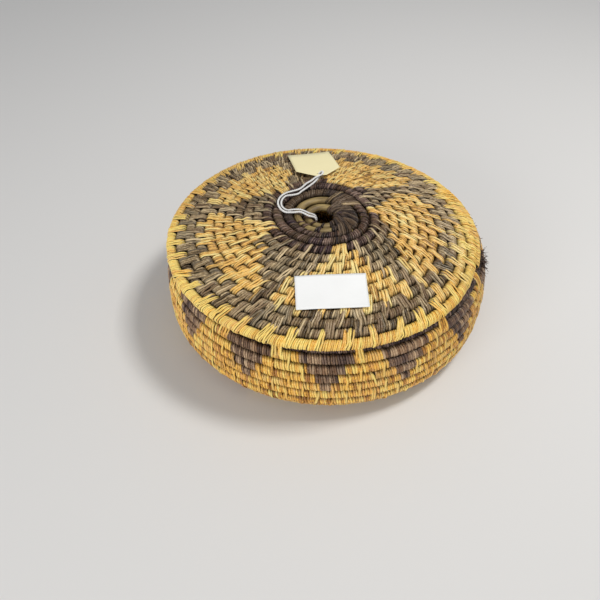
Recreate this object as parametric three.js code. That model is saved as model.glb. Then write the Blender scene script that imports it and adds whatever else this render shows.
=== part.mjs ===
// A round coiled basket with a shallow conical lid, in millimetres, +Z up.
// The origin is the middle of the flat base. The front of the basket faces -Y.
// Basket and lid are each one fibre coil, laid in a spiral from the middle outwards. The coil is
// shown in the stretches that a basket maker names: base, foot, wall and rim, and on the lid well,
// crest, slope and rim. The strands that sew the rows together aren't solids here.

import * as THREE from 'three';

// Coil
const COIL_PITCH = 5.9; // from the middle of one row to the middle of the next, along the wall
const COIL_GAP = 0.45; // left open between two rows
const COIL_THICKNESS = 5.5; // through the wall
const JOIN_GAP = 0.3; // between the ends of two stretches
const START_TURN = 0.25; // turns from the axis at which the base coil begins

// Basket, sizes to the middle of the coil
const BASE_RADIUS = 81.5;
const BELLY_RADIUS = 97;
const FOOT_RISE = 14.2;
const SHOULDER_RISE = 33.2;
const RIM_RADIUS = 90.9;
const SHOULDER_POWER = 3.5;

// Lid
const LID_RADIUS = 93; // to the outside of the rim coil
const CREST_RADIUS = 28.5;
const CREST_RISE = 13.8;
const WELL_DEPTH = 4.6; // from the crest down to the axis
const WELL_POWER = 1.5;
const HOLE_RADIUS = 6.5;
const CREST_TURNS = 1; // length of the crest's stretch of coil, half of it inside CREST_RADIUS
const LID_SHIFT = new THREE.Vector2(-2.6, -4.2); // how far the lid lies off the basket's axis
const SEAT_CLEARANCE = 0.3;
const COLLAR_ROWS = 2;
const COLLAR_PLAY = 0.6;

// Where each coil ends, in degrees to the right of the front, and how it gets there
const BASKET_END_ANGLE = 76;
const LID_END_ANGLE = 45;
const COLLAR_END_ANGLE = 200;
const LEVEL_SHARE = 0.2; // part of a turn in which a row climbs, so that the rims stay level
const TAPER_SHARE = 0.65; // part of that climb over which the last row thins out

// Paper label, tag and string
const LABEL_WIDTH = 38.1;
const LABEL_HEIGHT = 21.2;
const LABEL_THICKNESS = 0.3;
const LABEL_ANGLE = 2.6;
const LABEL_RADIUS = 61.5;
const TAG_WIDTH = 28.5;
const TAG_LENGTH = 45.5;
const TAG_SHOULDER = 10.4;
const TAG_TIP_WIDTH = 7;
const TAG_THICKNESS = 0.35;
const TAG_HOLE_RADIUS = 1.7;
const TAG_HOLE_INSET = 3.2;
const TAG_TIP = new THREE.Vector2(-0.5, 34.8); // from the lid's axis
const TAG_TURN = 10; // degrees
const TAG_LIFT = 1.9; // the string holds the tip this far off the lid
const STRING_DIAMETER = 1.1;
const KNOT_RADIUS = 1.9;
const KNOT_CENTRE = new THREE.Vector3(-9.6, -5.6, 6.6); // from the lid's axis and rim plane
// The string's route, from the knot under the lid up through the well and back, chosen by hand
const STRING_ROUTE = [
  [-7.5, -3.8, 7.2], [-5.3, -2.4, 7.7], [-4.1, -1.5, 9.6], [-4.8, -0.9, 13], [-8.3, -1.4, 15.15],
  [-13.6, 0.9, 15.95], [-17.3, 0.2, 16.55], [-21.4, -1, 17.1], [-24.2, 2, 17.45],
  [-24.6, 7.6, 17.55], [-22.1, 12.5, 17.5], [-18.2, 13.8, 17.3], [-14.8, 15.3, 17.15],
  [-12.6, 18, 17.2], [-5.7, 25.8, 17.55], [-2.4, 33, 16.5], [-2, 35, 16.1], [-2.2, 36.6, 15.75],
  [-1.85, 37.9, 16.2], [-0.85, 38.5, 17.15], [0.2, 37.9, 18.15], [0.6, 36.4, 18.65],
  [0.4, 34.8, 18.65], [-0.6, 33.4, 18.6], [-2.3, 32.1, 18.6], [-4.3, 30.7, 18.3],
  [-6.6, 28.6, 17.6], [-9.9, 25.2, 17.6], [-13.8, 20, 17.45], [-22.8, 14.7, 17.65],
  [-26.4, 8.6, 17.7], [-26.1, 2, 17.6], [-22.6, -2.9, 17.3], [-17.6, -2.5, 16.65],
  [-13.6, -1.3, 16], [-8.5, -4.1, 15.35], [-4.9, -2.8, 13.1], [-4.1, -3.1, 9.6], [-5, -4.2, 7.6],
  [-7.2, -5.8, 7.2],
];

// Facets
const STEPS_PER_TURN = 24;
const STEPS_NEAR_AXIS = 12;
const NEAR_AXIS_RADIUS = 22;
const LEAST_STEP = 0.25; // part of a step, the least at either end of a stretch
const PROFILE_STEPS = 160;
const LABEL_COLUMNS = 8;
const TAG_HOLE_SEGMENTS = 6;
const STRING_SIDES = 8;
const STRING_STEPS = 60;
const KNOT_SIDES = 8;
const KNOT_RINGS = 6;

const coilWidth = COIL_PITCH - COIL_GAP;
const halfThickness = COIL_THICKNESS / 2;

const material = (color, roughness = 0.85) =>
  new THREE.MeshStandardMaterial({ color, roughness, metalness: 0 });
const lightStraw = material(0xcda252);
const darkStraw = material(0x5d534b);
const plumStraw = material(0x4a3c42);
const bareStraw = material(0x8f7a45);
const whitePaper = material(0xf2f2ee, 0.7);
const manilaCard = material(0xefe0a8, 0.8);
const whiteCotton = material(0xeeeeea, 0.9);

// The line that a spiral's rows follow from the axis outwards, as radius and height by arc length
class Profile {
  constructor(pointAt, outward) {
    this.outward = outward; // 1 if outside is to the right of the line, -1 if to the left
    this.points = [];
    this.lengths = [0];
    for (let i = 0; i <= PROFILE_STEPS; i += 1) this.points.push(pointAt(i / PROFILE_STEPS));
    for (let i = 1; i <= PROFILE_STEPS; i += 1) {
      this.lengths.push(this.lengths[i - 1] + this.points[i].distanceTo(this.points[i - 1]));
    }
    this.length = this.lengths[PROFILE_STEPS];
  }

  point(s) {
    let i = this.lengths.findIndex((length) => length > s);
    if (i < 1) i = i === 0 ? 1 : PROFILE_STEPS;
    const share = (s - this.lengths[i - 1]) / (this.lengths[i] - this.lengths[i - 1]);
    return this.points[i - 1].clone().lerp(this.points[i], share);
  }

  tangent(s) {
    const reach = COIL_PITCH / 4;
    return this.point(s + reach).sub(this.point(s - reach)).normalize();
  }

  // A point beside the line: along is measured on the surface, out is away from the inside
  beside(s, along, out) {
    const tangent = this.tangent(s);
    const point = this.point(s);
    point.x += tangent.x * along + tangent.y * out * this.outward;
    point.y += tangent.y * along - tangent.x * out * this.outward;
    return point;
  }
}

// Basket: flat base, elliptical foot up to the belly, and a wall that leans in towards the rim
const footLength = (BELLY_RADIUS - BASE_RADIUS + FOOT_RISE) * Math.PI / 4;
const basketParts = [BASE_RADIUS, footLength, SHOULDER_RISE];
const basketTotal = basketParts.reduce((sum, part) => sum + part, 0);
function basketPoint(share) {
  let along = share * basketTotal;
  if (along <= BASE_RADIUS) return new THREE.Vector2(along, halfThickness);
  along -= BASE_RADIUS;
  if (along <= footLength) {
    const turn = (along / footLength) * Math.PI / 2;
    return new THREE.Vector2(
      BASE_RADIUS + (BELLY_RADIUS - BASE_RADIUS) * Math.sin(turn),
      halfThickness + FOOT_RISE * (1 - Math.cos(turn)),
    );
  }
  const rise = (along - footLength) / SHOULDER_RISE;
  return new THREE.Vector2(
    BELLY_RADIUS - (BELLY_RADIUS - RIM_RADIUS) * rise ** SHOULDER_POWER,
    halfThickness + FOOT_RISE + SHOULDER_RISE * rise,
  );
}
const basketProfile = new Profile(basketPoint, 1);

// Lid: a dished well round the hole, up to the crest, then a straight slope down to the rim.
// Heights are from the middle of the rim coil.
const wellStart = HOLE_RADIUS + coilWidth / 2;
const lidRimRadius = LID_RADIUS - coilWidth / 2;
function lidPoint(share) {
  const radius = wellStart + share * (lidRimRadius - wellStart);
  if (radius < CREST_RADIUS) {
    const inward = 1 - radius / CREST_RADIUS;
    return new THREE.Vector2(radius, CREST_RISE - WELL_DEPTH * inward ** WELL_POWER);
  }
  const slope = (radius - CREST_RADIUS) / (lidRimRadius - CREST_RADIUS);
  return new THREE.Vector2(radius, CREST_RISE * (1 - slope));
}
const lidProfile = new Profile(lidPoint, -1);
const crestLength = (() => {
  const share = (CREST_RADIUS - wellStart) / (lidRimRadius - wellStart);
  return lidProfile.lengths[Math.round(share * PROFILE_STEPS)];
})();
const slopeAngle = Math.atan2(CREST_RISE, lidRimRadius - CREST_RADIUS);

// A spiral of one coil on a profile. Its rows drift evenly out to levelFrom. Beyond it each turn
// does its climbing within LEVEL_SHARE of a turn, more so towards the rim, which stays level.
// If levelFrom is 0 every row is level, from a first ring round the hole.
class Spiral {
  constructor(profile, levelFrom, endAngle) {
    this.profile = profile;
    this.levelFrom = levelFrom;
    this.levelTurn = levelFrom / COIL_PITCH;
    this.lastTurn = this.levelTurn + (profile.length - levelFrom) / COIL_PITCH;
    this.endAngle = endAngle + 360 * LEVEL_SHARE;
    const rows = Math.floor(profile.length / COIL_PITCH) + 1 - LEVEL_SHARE;
    this.firstTurn = levelFrom > 0 ? START_TURN : this.lastTurn - rows;
  }

  // How many turns a row at this point lags behind a level one
  lag(turn) {
    const behind = THREE.MathUtils.euclideanModulo(this.lastTurn - turn, 1);
    if (behind <= 1 - LEVEL_SHARE) return behind;
    const climb = (1 - behind) / LEVEL_SHARE;
    return (1 - LEVEL_SHARE) * THREE.MathUtils.smoothstep(climb, 0, 1);
  }

  // Arc length on the profile at a number of turns
  along(turn) {
    if (this.levelFrom === 0) {
      return this.profile.length - COIL_PITCH * (this.lastTurn - this.lag(turn) - turn);
    }
    if (turn <= this.levelTurn) return turn * COIL_PITCH;
    const rows = this.lastTurn - this.lag(turn) - this.levelTurn;
    const share = (turn - this.levelTurn) / rows;
    return this.levelFrom + (this.profile.length - this.levelFrom) * share;
  }

  angle(turn) {
    return THREE.MathUtils.degToRad(this.endAngle + 360 * (this.lastTurn - turn));
  }

  endTurn() {
    return this.lastTurn + LEVEL_SHARE * TAPER_SHARE;
  }

  startTurn() {
    return this.levelFrom > 0 ? this.firstTurn : this.firstTurn - LEVEL_SHARE * TAPER_SHARE;
  }

  // Middle of the coil and its width at a number of turns. Past lastTurn the coil fills the wedge
  // between the row below it and the level rim, and before firstTurn the one round the hole.
  station(turn) {
    if (turn < this.firstTurn) {
      const bottom = this.along(this.firstTurn) - coilWidth / 2;
      const width = this.along(turn + 1) - COIL_PITCH / 2 - COIL_GAP / 2 - bottom;
      return { s: bottom + width / 2, width };
    }
    if (turn <= this.lastTurn) return { s: this.along(turn), width: coilWidth };
    const below = this.along(turn - 1) + COIL_PITCH / 2;
    const top = this.profile.length + coilWidth / 2;
    const width = top - below - COIL_GAP / 2;
    return { s: top - width / 2, width };
  }
}

const frontAngle = (angle) => new THREE.Vector2(Math.sin(angle), -Math.cos(angle));

// Six corners of the coil's section: flat inside and outside, ridged towards the rows beside it
const SECTION = [[0.5, 0], [0.25, 0.5], [-0.25, 0.5], [-0.5, 0], [-0.25, -0.5], [0.25, -0.5]];

function coilRing(spiral, turn) {
  const { s, width } = spiral.station(turn);
  const thin = Math.sqrt(width / coilWidth);
  const direction = frontAngle(spiral.angle(turn));
  return SECTION.map(([along, out]) => {
    const point = spiral.profile.beside(s, along * width, out * COIL_THICKNESS * thin);
    return new THREE.Vector3(direction.x * point.x, direction.y * point.x, point.y);
  });
}

// A closed tube through rings of corners, with a flat cap at each end
function tubeGeometry(rings) {
  const sides = rings[0].length;
  const positions = rings.flat().flatMap((corner) => corner.toArray());
  const index = [];
  for (let i = 0; i + 1 < rings.length; i += 1) {
    for (let j = 0; j < sides; j += 1) {
      const a = i * sides + j;
      const b = i * sides + ((j + 1) % sides);
      index.push(a, b, b + sides, a, b + sides, a + sides);
    }
  }
  const last = (rings.length - 1) * sides;
  for (let j = 1; j + 1 < sides; j += 1) {
    index.push(0, j + 1, j);
    index.push(last, last + j, last + j + 1);
  }
  const geometry = new THREE.BufferGeometry();
  geometry.setAttribute('position', new THREE.Float32BufferAttribute(positions, 3));
  geometry.setIndex(index);
  if (signedVolume(geometry) < 0) geometry.setIndex(flipped(index));
  geometry.computeVertexNormals();
  return geometry;
}

function flipped(index) {
  const turned = [];
  for (let i = 0; i < index.length; i += 3) turned.push(index[i], index[i + 2], index[i + 1]);
  return turned;
}

function signedVolume(geometry) {
  const corner = (i) => new THREE.Vector3().fromBufferAttribute(geometry.attributes.position, i);
  const index = geometry.index.array;
  let volume = 0;
  for (let i = 0; i < index.length; i += 3) {
    volume += corner(index[i]).dot(corner(index[i + 1]).cross(corner(index[i + 2]))) / 6;
  }
  return volume;
}

// Turn numbers of a stretch of coil: whole steps that line up from row to row, and both ends
function turnSteps(spiral, from, to) {
  const turns = [from];
  const first = Math.ceil((spiral.lastTurn - to) * STEPS_PER_TURN + LEAST_STEP);
  const final = Math.floor((spiral.lastTurn - from) * STEPS_PER_TURN - LEAST_STEP);
  const coarse = STEPS_PER_TURN / STEPS_NEAR_AXIS;
  for (let step = final; step >= first; step -= 1) {
    const turn = spiral.lastTurn - step / STEPS_PER_TURN;
    const near = spiral.profile.point(spiral.station(turn).s).x < NEAR_AXIS_RADIUS;
    if (!near || step % coarse === 0) turns.push(turn);
  }
  turns.push(to);
  return turns;
}

function coilStretch(spiral, from, to) {
  const radius = spiral.profile.point(spiral.station(from).s).x;
  const start = from + JOIN_GAP / (2 * Math.PI * radius);
  return tubeGeometry(turnSteps(spiral, start, to).map((turn) => coilRing(spiral, turn)));
}

// Least distance between a coil and its next row, taken from corner to corner
function leastGap(spiral, from, to) {
  let least = Infinity;
  turnSteps(spiral, from, to - 1).forEach((turn) => {
    const row = coilRing(spiral, turn);
    const next = coilRing(spiral, turn + 1);
    row.forEach((a) => next.forEach((b) => { least = Math.min(least, a.distanceTo(b)); }));
  });
  return least;
}

const root = new THREE.Group();
const lid = new THREE.Group();

function addPiece(group, name, geometry, finish) {
  const mesh = new THREE.Mesh(geometry, finish);
  mesh.name = name;
  group.add(mesh);
  return mesh;
}

// Basket
const basketSpiral = new Spiral(basketProfile, BASE_RADIUS, BASKET_END_ANGLE);
const baseEnd = basketSpiral.levelTurn;
const footEnd = basketSpiral.lastTurn - SHOULDER_RISE / COIL_PITCH;
const basketRimStart = basketSpiral.lastTurn - 1;
addPiece(root, 'base_coil', coilStretch(basketSpiral, basketSpiral.startTurn(), baseEnd), lightStraw);
addPiece(root, 'foot_coil', coilStretch(basketSpiral, baseEnd, footEnd), lightStraw);
addPiece(root, 'wall_coil', coilStretch(basketSpiral, footEnd, basketRimStart), lightStraw);
addPiece(
  root,
  'basket_rim_coil',
  coilStretch(basketSpiral, basketRimStart, basketSpiral.endTurn()),
  plumStraw,
);

// Lid
const lidSpiral = new Spiral(lidProfile, 0, LID_END_ANGLE);
const crestTurn = crestLength / COIL_PITCH;
const crestStart = crestTurn - CREST_TURNS / 2;
const crestEnd = crestTurn + CREST_TURNS / 2;
const lidRimStart = lidSpiral.lastTurn - 1;
const slopeMiddle = (crestEnd + lidRimStart) / 2;
addPiece(lid, 'well_coil', coilStretch(lidSpiral, lidSpiral.startTurn(), crestStart), bareStraw);
addPiece(lid, 'crest_coil', coilStretch(lidSpiral, crestStart, crestEnd), plumStraw);
addPiece(lid, 'upper_slope_coil', coilStretch(lidSpiral, crestEnd, slopeMiddle), lightStraw);
addPiece(lid, 'lower_slope_coil', coilStretch(lidSpiral, slopeMiddle, lidRimStart), darkStraw);
addPiece(
  lid,
  'lid_rim_coil',
  coilStretch(lidSpiral, lidRimStart, lidSpiral.endTurn()),
  lightStraw,
);

// Heights and radii that two rims give each other
const sectionHeights = (profile, s) =>
  SECTION.map(([along, out]) => profile.beside(s, along * coilWidth, out * COIL_THICKNESS).y);
const sectionRadii = (profile, s) =>
  SECTION.map(([along, out]) => profile.beside(s, along * coilWidth, out * COIL_THICKNESS).x);
const basketTop = Math.max(...sectionHeights(basketProfile, basketProfile.length));
const lidBottom = Math.min(...sectionHeights(lidProfile, lidProfile.length));
const lidHeight = basketTop + SEAT_CLEARANCE - lidBottom;
const mouthRadius = Math.min(...sectionRadii(basketProfile, basketProfile.length));
lid.position.set(LID_SHIFT.x, LID_SHIFT.y, lidHeight);

// Height of the lid's outer surface over its rim plane
const surfaceRise = halfThickness / Math.cos(slopeAngle);
const lidSurface = (radius) =>
  (lidRimRadius - radius) * Math.tan(slopeAngle) + surfaceRise;

// Collar under the lid: a short wall of level rows that keeps the lid in the basket's mouth
const collarRadius = mouthRadius - LID_SHIFT.length() - COLLAR_PLAY - halfThickness;
const collarTop = lidSurface(collarRadius) - 2 * surfaceRise - SEAT_CLEARANCE;

function collarRing(turn) {
  const row = Math.min(Math.floor(turn), COLLAR_ROWS - 1);
  const climb = THREE.MathUtils.smoothstep(turn - row, 1 - LEVEL_SHARE, 1);
  const rowsDown = row + 1 < COLLAR_ROWS ? row + climb : row;
  const middle = collarTop - coilWidth / 2 - rowsDown * COIL_PITCH;
  const direction = frontAngle(THREE.MathUtils.degToRad(COLLAR_END_ANGLE - 360 * turn));
  return SECTION.map(([along, out]) => {
    const radius = collarRadius + out * COIL_THICKNESS;
    return new THREE.Vector3(direction.x * radius, direction.y * radius, middle + along * coilWidth);
  });
}

const collarTurns = [];
const collarEnd = COLLAR_ROWS - LEVEL_SHARE - 1 / STEPS_PER_TURN;
for (let step = 0; step / STEPS_PER_TURN <= collarEnd; step += 1) {
  collarTurns.push(step / STEPS_PER_TURN);
}
addPiece(lid, 'collar_coil', tubeGeometry(collarTurns.map(collarRing)), lightStraw);

// Label: a thin sheet with straight edges that follows the lid's slope
function labelGeometry() {
  const rings = [];
  const outward = frontAngle(THREE.MathUtils.degToRad(LABEL_ANGLE));
  const sideways = new THREE.Vector2(-outward.y, outward.x);
  for (let i = 0; i <= LABEL_COLUMNS; i += 1) {
    const across = (i / LABEL_COLUMNS - 0.5) * LABEL_WIDTH;
    rings.push([[0.5, 0], [0.5, 1], [-0.5, 1], [-0.5, 0]].map(([up, out]) => {
      const radius = LABEL_RADIUS + up * LABEL_HEIGHT * Math.cos(slopeAngle);
      const spot = outward.clone().multiplyScalar(radius).addScaledVector(sideways, across);
      const height = lidSurface(spot.length()) + SEAT_CLEARANCE + out * LABEL_THICKNESS;
      return new THREE.Vector3(spot.x, spot.y, height);
    }));
  }
  return tubeGeometry(rings);
}
addPiece(lid, 'label', labelGeometry(), whitePaper);

// Tag: a card with clipped corners and a hole at its tip, lying on the back of the lid
function tagGeometry() {
  const half = TAG_WIDTH / 2;
  const tip = TAG_TIP_WIDTH / 2;
  const outline = new THREE.Shape([
    new THREE.Vector2(-tip, 0),
    new THREE.Vector2(tip, 0),
    new THREE.Vector2(half, TAG_SHOULDER),
    new THREE.Vector2(half, TAG_LENGTH),
    new THREE.Vector2(-half, TAG_LENGTH),
    new THREE.Vector2(-half, TAG_SHOULDER),
  ]);
  const hole = new THREE.Path();
  hole.absarc(0, TAG_HOLE_INSET, TAG_HOLE_RADIUS, 0, 2 * Math.PI, true);
  outline.holes.push(hole);
  return new THREE.ExtrudeGeometry(outline, {
    depth: TAG_THICKNESS,
    bevelEnabled: false,
    curveSegments: TAG_HOLE_SEGMENTS,
  });
}
const tagEndRadius = TAG_TIP.y + TAG_LENGTH * Math.cos(slopeAngle);
const tagTipHeight = lidSurface(TAG_TIP.y) + TAG_LIFT;
const tagDrop = tagTipHeight - lidSurface(tagEndRadius) - SEAT_CLEARANCE;
const tag = addPiece(lid, 'tag', tagGeometry(), manilaCard);
tag.position.set(TAG_TIP.x, TAG_TIP.y, tagTipHeight);
tag.rotation.order = 'ZXY';
tag.rotation.z = THREE.MathUtils.degToRad(TAG_TURN);
tag.rotation.x = -Math.asin(tagDrop / TAG_LENGTH);

// String: doubled through the tag's hole, with both ends in a knot under the lid
const route = new THREE.CatmullRomCurve3(
  STRING_ROUTE.map((point) => new THREE.Vector3(...point)),
  false,
  'centripetal',
);
const stringSection = new THREE.Shape();
stringSection.absarc(0, 0, STRING_DIAMETER / 2, 0, 2 * Math.PI, false);
const stringGeometry = new THREE.ExtrudeGeometry(stringSection, {
  steps: STRING_STEPS,
  curveSegments: STRING_SIDES / 2,
  extrudePath: route,
});
addPiece(lid, 'string', stringGeometry, whiteCotton);
const knotGeometry = new THREE.SphereGeometry(KNOT_RADIUS, KNOT_SIDES, KNOT_RINGS);
const knot = addPiece(lid, 'string_knot', knotGeometry, whiteCotton);
knot.position.copy(KNOT_CENTRE);

root.add(lid);

console.log('least gap between basket rows, mm',
  leastGap(basketSpiral, basketSpiral.startTurn(), basketSpiral.lastTurn).toFixed(3));
console.log('least gap between lid rows, mm',
  leastGap(lidSpiral, lidSpiral.startTurn(), lidSpiral.lastTurn).toFixed(3));
console.log('string length, mm', route.getLength().toFixed(1));

export default root;
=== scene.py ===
"""A round coiled basket with a lid, a paper label and a string tag, sewn strand by strand.

Lengths are in metres. +Z is up, the front of the basket faces -Y, and an angle round the basket is
counted from the front towards +X.
"""

import logging
import math
from collections.abc import Callable
from dataclasses import dataclass, field, replace
from enum import Enum

import bpy
import numpy as np
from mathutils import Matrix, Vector


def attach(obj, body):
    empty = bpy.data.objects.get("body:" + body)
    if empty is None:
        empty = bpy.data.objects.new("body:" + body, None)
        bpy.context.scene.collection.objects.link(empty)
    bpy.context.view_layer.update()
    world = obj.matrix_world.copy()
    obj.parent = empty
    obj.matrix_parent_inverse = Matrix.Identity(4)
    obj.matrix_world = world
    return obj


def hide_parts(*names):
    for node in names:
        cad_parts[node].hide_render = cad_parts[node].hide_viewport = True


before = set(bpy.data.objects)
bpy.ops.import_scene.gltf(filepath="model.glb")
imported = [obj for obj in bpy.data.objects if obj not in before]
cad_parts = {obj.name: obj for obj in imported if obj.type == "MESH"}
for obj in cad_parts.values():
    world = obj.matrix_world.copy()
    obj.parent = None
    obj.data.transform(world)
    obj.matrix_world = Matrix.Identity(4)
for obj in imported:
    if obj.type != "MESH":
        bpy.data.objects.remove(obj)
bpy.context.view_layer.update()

log = logging.getLogger("basket")

SEED = 41
MOST_TRIANGLES = 190_000
MAP_MARGIN = 0.06  # of a strand's place in the map
PER_METRE = 1000  # the grain runs over the strands in millimetres
GRAIN_SHIFT = (61, 37)  # sets strands apart in the grain, by tone and hue
GIRTH = 2.4  # distance round a strand, in widths

# Coil
COIL_PITCH = 0.0059
COIL_GAP = 0.00045
COIL_THICKNESS = 0.0055
START_TURN = 0.25
LEVEL_SHARE = 0.2
TAPER_SHARE = 0.65
LEAD_ROWS = 4  # how far a profile goes on past its ends
PROFILE_STEPS = 160
TURN_STEPS = 400
COIL_WIDTH = COIL_PITCH - COIL_GAP

# Corners of the coil's section, across it and out from it, in its width and thickness
COIL_CORNERS = ((0.5, 0), (0.25, 0.5), (-0.25, 0.5), (-0.5, 0), (-0.25, -0.5), (0.25, -0.5))

# Basket, sizes to the middle of the coil
BASE_RADIUS = 0.0815
BELLY_RADIUS = 0.097
FOOT_RISE = 0.0142
SHOULDER_RISE = 0.0332
RIM_RADIUS = 0.0909
SHOULDER_POWER = 3.5
BASKET_END_ANGLE = 76

# Lid
LID_RADIUS = 0.093
CREST_RADIUS = 0.0285
CREST_RISE = 0.0138
WELL_DEPTH = 0.0046
WELL_POWER = 1.5
HOLE_RADIUS = 0.0065
CREST_TURNS = 1
LID_SHIFT = (-0.0026, -0.0042)
SEAT_CLEARANCE = 0.0003
LID_END_ANGLE = 45
COLLAR_ROWS = 2
COLLAR_END_ANGLE = 200
COLLAR_PLAY = 0.0006

Array = np.ndarray
Place = tuple[float, float, float]
Colour = tuple[float, float, float]
Span = tuple[float, float]
Paint = Colour | bpy.types.NodeSocket
Gauge = Callable[[Array], Array]


class Dye(Enum):
    """The colours of the sewing strands."""

    LIGHT = 0
    DARK = 1
    PLUM = 2
    WORN = 3
    GOLD = 4
    BROWN = 5


class Sewing(Enum):
    """How a strand goes round the coil."""

    WRAP = "wraps"
    STITCH = "stitches"


def unit(vectors: Array) -> Array:
    """Return the vectors at length one."""
    return vectors / np.maximum(np.linalg.norm(vectors, axis=-1, keepdims=True), 1e-12)


def smooth(value: Array, low: float, high: float) -> Array:
    """Return a smooth step from 0 at low to 1 at high."""
    share = np.clip((value - low) / (high - low), 0, 1)
    return share * share * (3 - 2 * share)


def wrapped(degrees: Array) -> Array:
    """Return angles brought into the range from -180 to 180 degrees."""
    return (degrees + 180) % 360 - 180


def constant(value: float) -> Gauge:
    """Return a gauge that is the same at every turn."""
    return lambda turn: np.full_like(turn, value)


def circle(angle: Array) -> Array:
    """Return points of a circle of radius 1."""
    return np.stack([np.cos(angle), np.sin(angle)], axis=-1)


def patches(turn: Array, slow: float, fast: float) -> Array:
    """Return uneven numbers from -2 to 2 along the coil, the sum of two waves."""
    return np.sin(turn * slow) + np.sin(turn * fast)


class Profile:
    """The line that a spiral's rows follow outwards, as radius and height by arc length."""

    def __init__(self, points: Array, outward: float) -> None:
        """Measure the line, and lengthen it straight on at both ends.

        Args:
            points: Radius and height of each point, one row each.
            outward: 1 if the outside is to the right of the line, -1 if to the left.
        """
        steps = np.linalg.norm(np.diff(points, axis=0), axis=1)
        self.lengths = np.concatenate([[0], np.cumsum(steps)])
        self.length = float(self.lengths[-1])
        self.outward = outward
        lead = LEAD_ROWS * COIL_PITCH
        first = points[0] + unit(points[0] - points[1]) * lead
        last = points[-1] + unit(points[-1] - points[-2]) * lead
        self.points = np.vstack([first, points, last])
        self.places = np.concatenate([[-lead], self.lengths, [self.length + lead]])

    def point(self, s: Array) -> Array:
        """Return radius and height at arc length s.

        Args:
            s: Arc lengths.

        Returns:
            Radius and height of each.
        """
        radius = np.interp(s, self.places, self.points[:, 0])
        height = np.interp(s, self.places, self.points[:, 1])
        return np.stack([radius, height], axis=-1)

    def tangent(self, s: Array) -> Array:
        """Return the line's direction at arc length s."""
        reach = COIL_PITCH / 4
        return unit(self.point(s + reach) - self.point(s - reach))

    def beside(self, s: Array, along: Array, out: Array) -> Array:
        """Return a point beside the line, along it and out from it by the given lengths.

        Args:
            s: Arc lengths.
            along: Distances along the line.
            out: Distances out from it.

        Returns:
            Radius and height of each point.
        """
        tangent = self.tangent(s)
        out_axis = np.stack([tangent[..., 1], -tangent[..., 0]], axis=-1) * self.outward
        return self.point(s) + tangent * along[..., None] + out_axis * out[..., None]


def basket_profile() -> Profile:
    """Return the basket's line: flat base, elliptical foot and a wall that leans in at the rim.

    Returns:
        The line through the middle of the coil.
    """
    foot_length = (BELLY_RADIUS - BASE_RADIUS + FOOT_RISE) * math.pi / 4
    total = BASE_RADIUS + foot_length + SHOULDER_RISE
    along = np.linspace(0, total, PROFILE_STEPS + 1)
    turn = np.clip((along - BASE_RADIUS) / foot_length, 0, 1) * math.pi / 2
    rise = np.clip((along - BASE_RADIUS - foot_length) / SHOULDER_RISE, 0, 1)
    radius = np.minimum(along, BASE_RADIUS) + (BELLY_RADIUS - BASE_RADIUS) * np.sin(turn)
    radius -= (BELLY_RADIUS - RIM_RADIUS) * rise ** SHOULDER_POWER
    height = COIL_THICKNESS / 2 + FOOT_RISE * (1 - np.cos(turn)) + SHOULDER_RISE * rise
    return Profile(np.stack([radius, height], axis=-1), 1)


def lid_profile() -> Profile:
    """Return the lid's line: a dished well, the crest and a straight slope to the rim.

    Returns:
        The line through the middle of the coil.
    """
    start, end = HOLE_RADIUS + COIL_WIDTH / 2, LID_RADIUS - COIL_WIDTH / 2
    radius = np.linspace(start, end, PROFILE_STEPS + 1)
    inward = np.clip(1 - radius / CREST_RADIUS, 0, 1)
    dish = CREST_RISE - WELL_DEPTH * inward**WELL_POWER
    slope = CREST_RISE * (1 - (radius - CREST_RADIUS) / (end - CREST_RADIUS))
    height = np.where(radius < CREST_RADIUS, dish, slope)
    return Profile(np.stack([radius, height], axis=-1), -1)


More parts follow.
